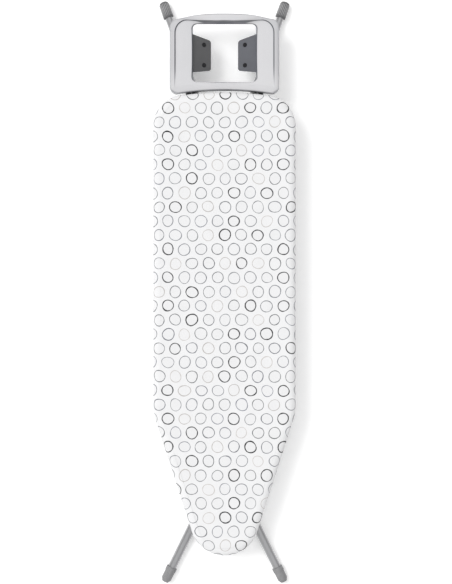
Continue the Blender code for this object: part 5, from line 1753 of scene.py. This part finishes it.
def pad_mesh(side):
    """A flat root under the frame and a blade that slopes in, with round corners and edges."""
    corner, edge = 0.0055, 0.0006
    root = OPENING_HALF + 0.012
    stations = [0.0, 0.002, 0.010, 0.012, 0.013]
    stations += [0.013 + 0.031 * i / 8 for i in range(1, 8)]
    stations += [0.056 - corner + corner * math.sin(math.pi / 2 * i / 6) for i in range(7)]
    rings = []
    for along in stations:
        x = root - along
        share = min(1.0, max(0.0, (along - 0.012) / PAD_REACH))
        low = PAD_ROOT[0] + (PAD_TIP[0] - PAD_ROOT[0]) * share
        high = PAD_ROOT[1] + (PAD_TIP[1] - PAD_ROOT[1]) * share
        into = along - (0.056 - corner)
        if into > 0:
            pull = corner * (1 - math.sqrt(max(0.0, 1 - (into / corner) ** 2)))
            low, high = low + pull, high - pull
        drop = max(0.0, along - 0.012) * math.tan(PAD_SLOPE)
        bend = smooth_step(along, 0.009, 0.015)
        level = pad_top - drop
        shift = PAD_THICK * math.tan(PAD_SLOPE / 2) * bend
        ring = []
        for y, deep in (
            (low + edge, 0.0),
            (high - edge, 0.0),
            (high - edge * 0.3, 0.3 * edge),
            (high, edge),
            (high, PAD_THICK - edge),
            (high - edge, PAD_THICK),
            (low + edge, PAD_THICK),
            (low, PAD_THICK - edge),
            (low, edge),
            (low + edge * 0.3, 0.3 * edge),
        ):
            lean = shift * deep / PAD_THICK
            ring.append((side * (x + lean), y, level - deep))
        rings.append(ring)
    return make_mesh("heat_pad", *skin(rings), 40)


stud_black = silicone_finish("stud_black", (0.008, 0.008, 0.010), 0.0)


def stud_mesh():
    """A sunk stud: a soft collar, a bowl, and the rivet's own small dome inside."""
    profile = [
        (-0.0043, 0.0020),
        (-0.0006, 0.0020),
        (-0.0006, 0.0040),
        (0.0002, 0.0040),
        (0.0007, 0.0037),
        (0.0008, 0.0034),
        (0.0006, 0.0031),
        (0.0002, 0.0027),
        (0.0001, 0.0022),
        (0.0005, 0.0019),
        (0.0009, 0.0013),
        (0.0011, 0.0007),
        (0.0012, 0.0001),
    ]
    return lathe_mesh("sunk_stud", profile, 28)


# One silicone, coloured darker on the left pad and lighter on the right: painted shade and painted
# light, as the lamp at the left falls on the two slopes.
for side, sign, colour in (
    ("left", -1, (0.086, 0.086, 0.089)), ("right", 1, (0.108, 0.112, 0.126))
):
    silicone = silicone_finish("graphite_silicone_" + side, colour, 0.2)
    mesh = pad_mesh(sign)
    name, node = "heat_pad_" + side, "rest_pad_" + side
    finished(name, mesh, silicone, "iron_rest", "graphite_silicone", node)
    drop = (OPENING_HALF - STUD_X) * math.tan(PAD_SLOPE)
    up = (-sign * math.sin(PAD_SLOPE), 0.0, math.cos(PAD_SLOPE))
    places = [((sign * STUD_X, y, pad_top - drop), up) for y in STUD_Y]
    set_out(
        "sunk_studs_" + side,
        stud_mesh(),
        places,
        stud_black,
        "iron_rest",
        "black_plastic",
        size=STUD_SIZE,
        replaced=(f"pad_stud_{side}_1", f"pad_stud_{side}_2"),
    )


# ---------------------------------------------------------------- rest rods and screws
# Two zinc rods that carry the rest, upset to a collar at their inner ends,
# and the four cross-head screws that hold them up to the bosses.

CROSS_HALF, CROSS_DEPTH, CROSS_REACH = 0.00042, 0.0013, 0.0027


def rod_mesh(node):
    low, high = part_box(node)
    centre = ((low[0] + high[0]) / 2, 0, (low[2] + high[2]) / 2)
    profile = [
        (low[1], 0.0046),
        (low[1] + 0.0006, 0.0054),
        (low[1] + 0.0026, 0.0054),
        (low[1] + 0.0032, 0.0041),
        (low[1] + 0.0040, 0.0040),
        (high[1] - 0.0012, 0.0040),
        (high[1] - 0.0004, 0.0036),
        (high[1], 0.0029),
    ]
    return lathe_mesh("rest_rod", profile, 40, "Y", centre)


def screw_mesh():
    """A pan-head screw with a cross recess, which is four sunk wedges in its dome."""
    rings = []
    for along, radius in (
        (0.0, 0.0020),
        (0.0, 0.0043),
        (0.0003, 0.0045),
        (0.0012, 0.0044),
        (0.0021, 0.0038),
        (0.0026, 0.0031),
        (0.0029, 0.0023),
        (0.0030, 0.0016),
        (0.0030, 0.0010),
        (0.0030, 0.0004),
    ):
        ring = []
        for c, s in circle(40):
            arm = min(abs(s), abs(c)) * radius < CROSS_HALF
            sunk = CROSS_DEPTH if arm and radius < CROSS_REACH else 0.0
            ring.append((radius * c, radius * s, along - sunk))
        rings.append(ring)
    return make_mesh("cross_screw", *skin(rings), 30)


for side in ("left", "right"):
    node = "rest_rod_" + side
    finished("rest_rod_turned_" + side, rod_mesh(node), zinc, "iron_rest", "zinc", node)
screw_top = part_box("rest_screw_left_1")[0][2] + 0.003
set_out(
    "rest_screws",
    screw_mesh(),
    [((sign * ROD_X, y, screw_top), (0.0, 0.0, -1.0)) for sign in (-1, 1) for y in SCREW_Y],
    zinc,
    "iron_rest",
    "zinc",
    seed=4,
    replaced=("rest_screw_left_1", "rest_screw_left_2", "rest_screw_right_1", "rest_screw_right_2"),
)


# ---------------------------------------------------------------- rod guides
# Black plastic blocks screwed under the heel plate, each with a bore that a
# rod of the iron rest slides in, held by one self-tapping screw.

coat(black_plastic, "rest_guide_left", "rest_guide_right")
low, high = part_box("guide_screw_right")
places = [
    ((sign * (low[0] + high[0]) / 2, (low[1] + high[1]) / 2, low[2] + 0.002), (0.0, 0.0, -1.0))
    for sign in (-1, 1)
]
set_out(
    "guide_screws",
    screw_mesh(),
    places,
    zinc,
    "board",
    "zinc",
    size=0.66,
    seed=9,
    replaced=("guide_screw_left", "guide_screw_right"),
)
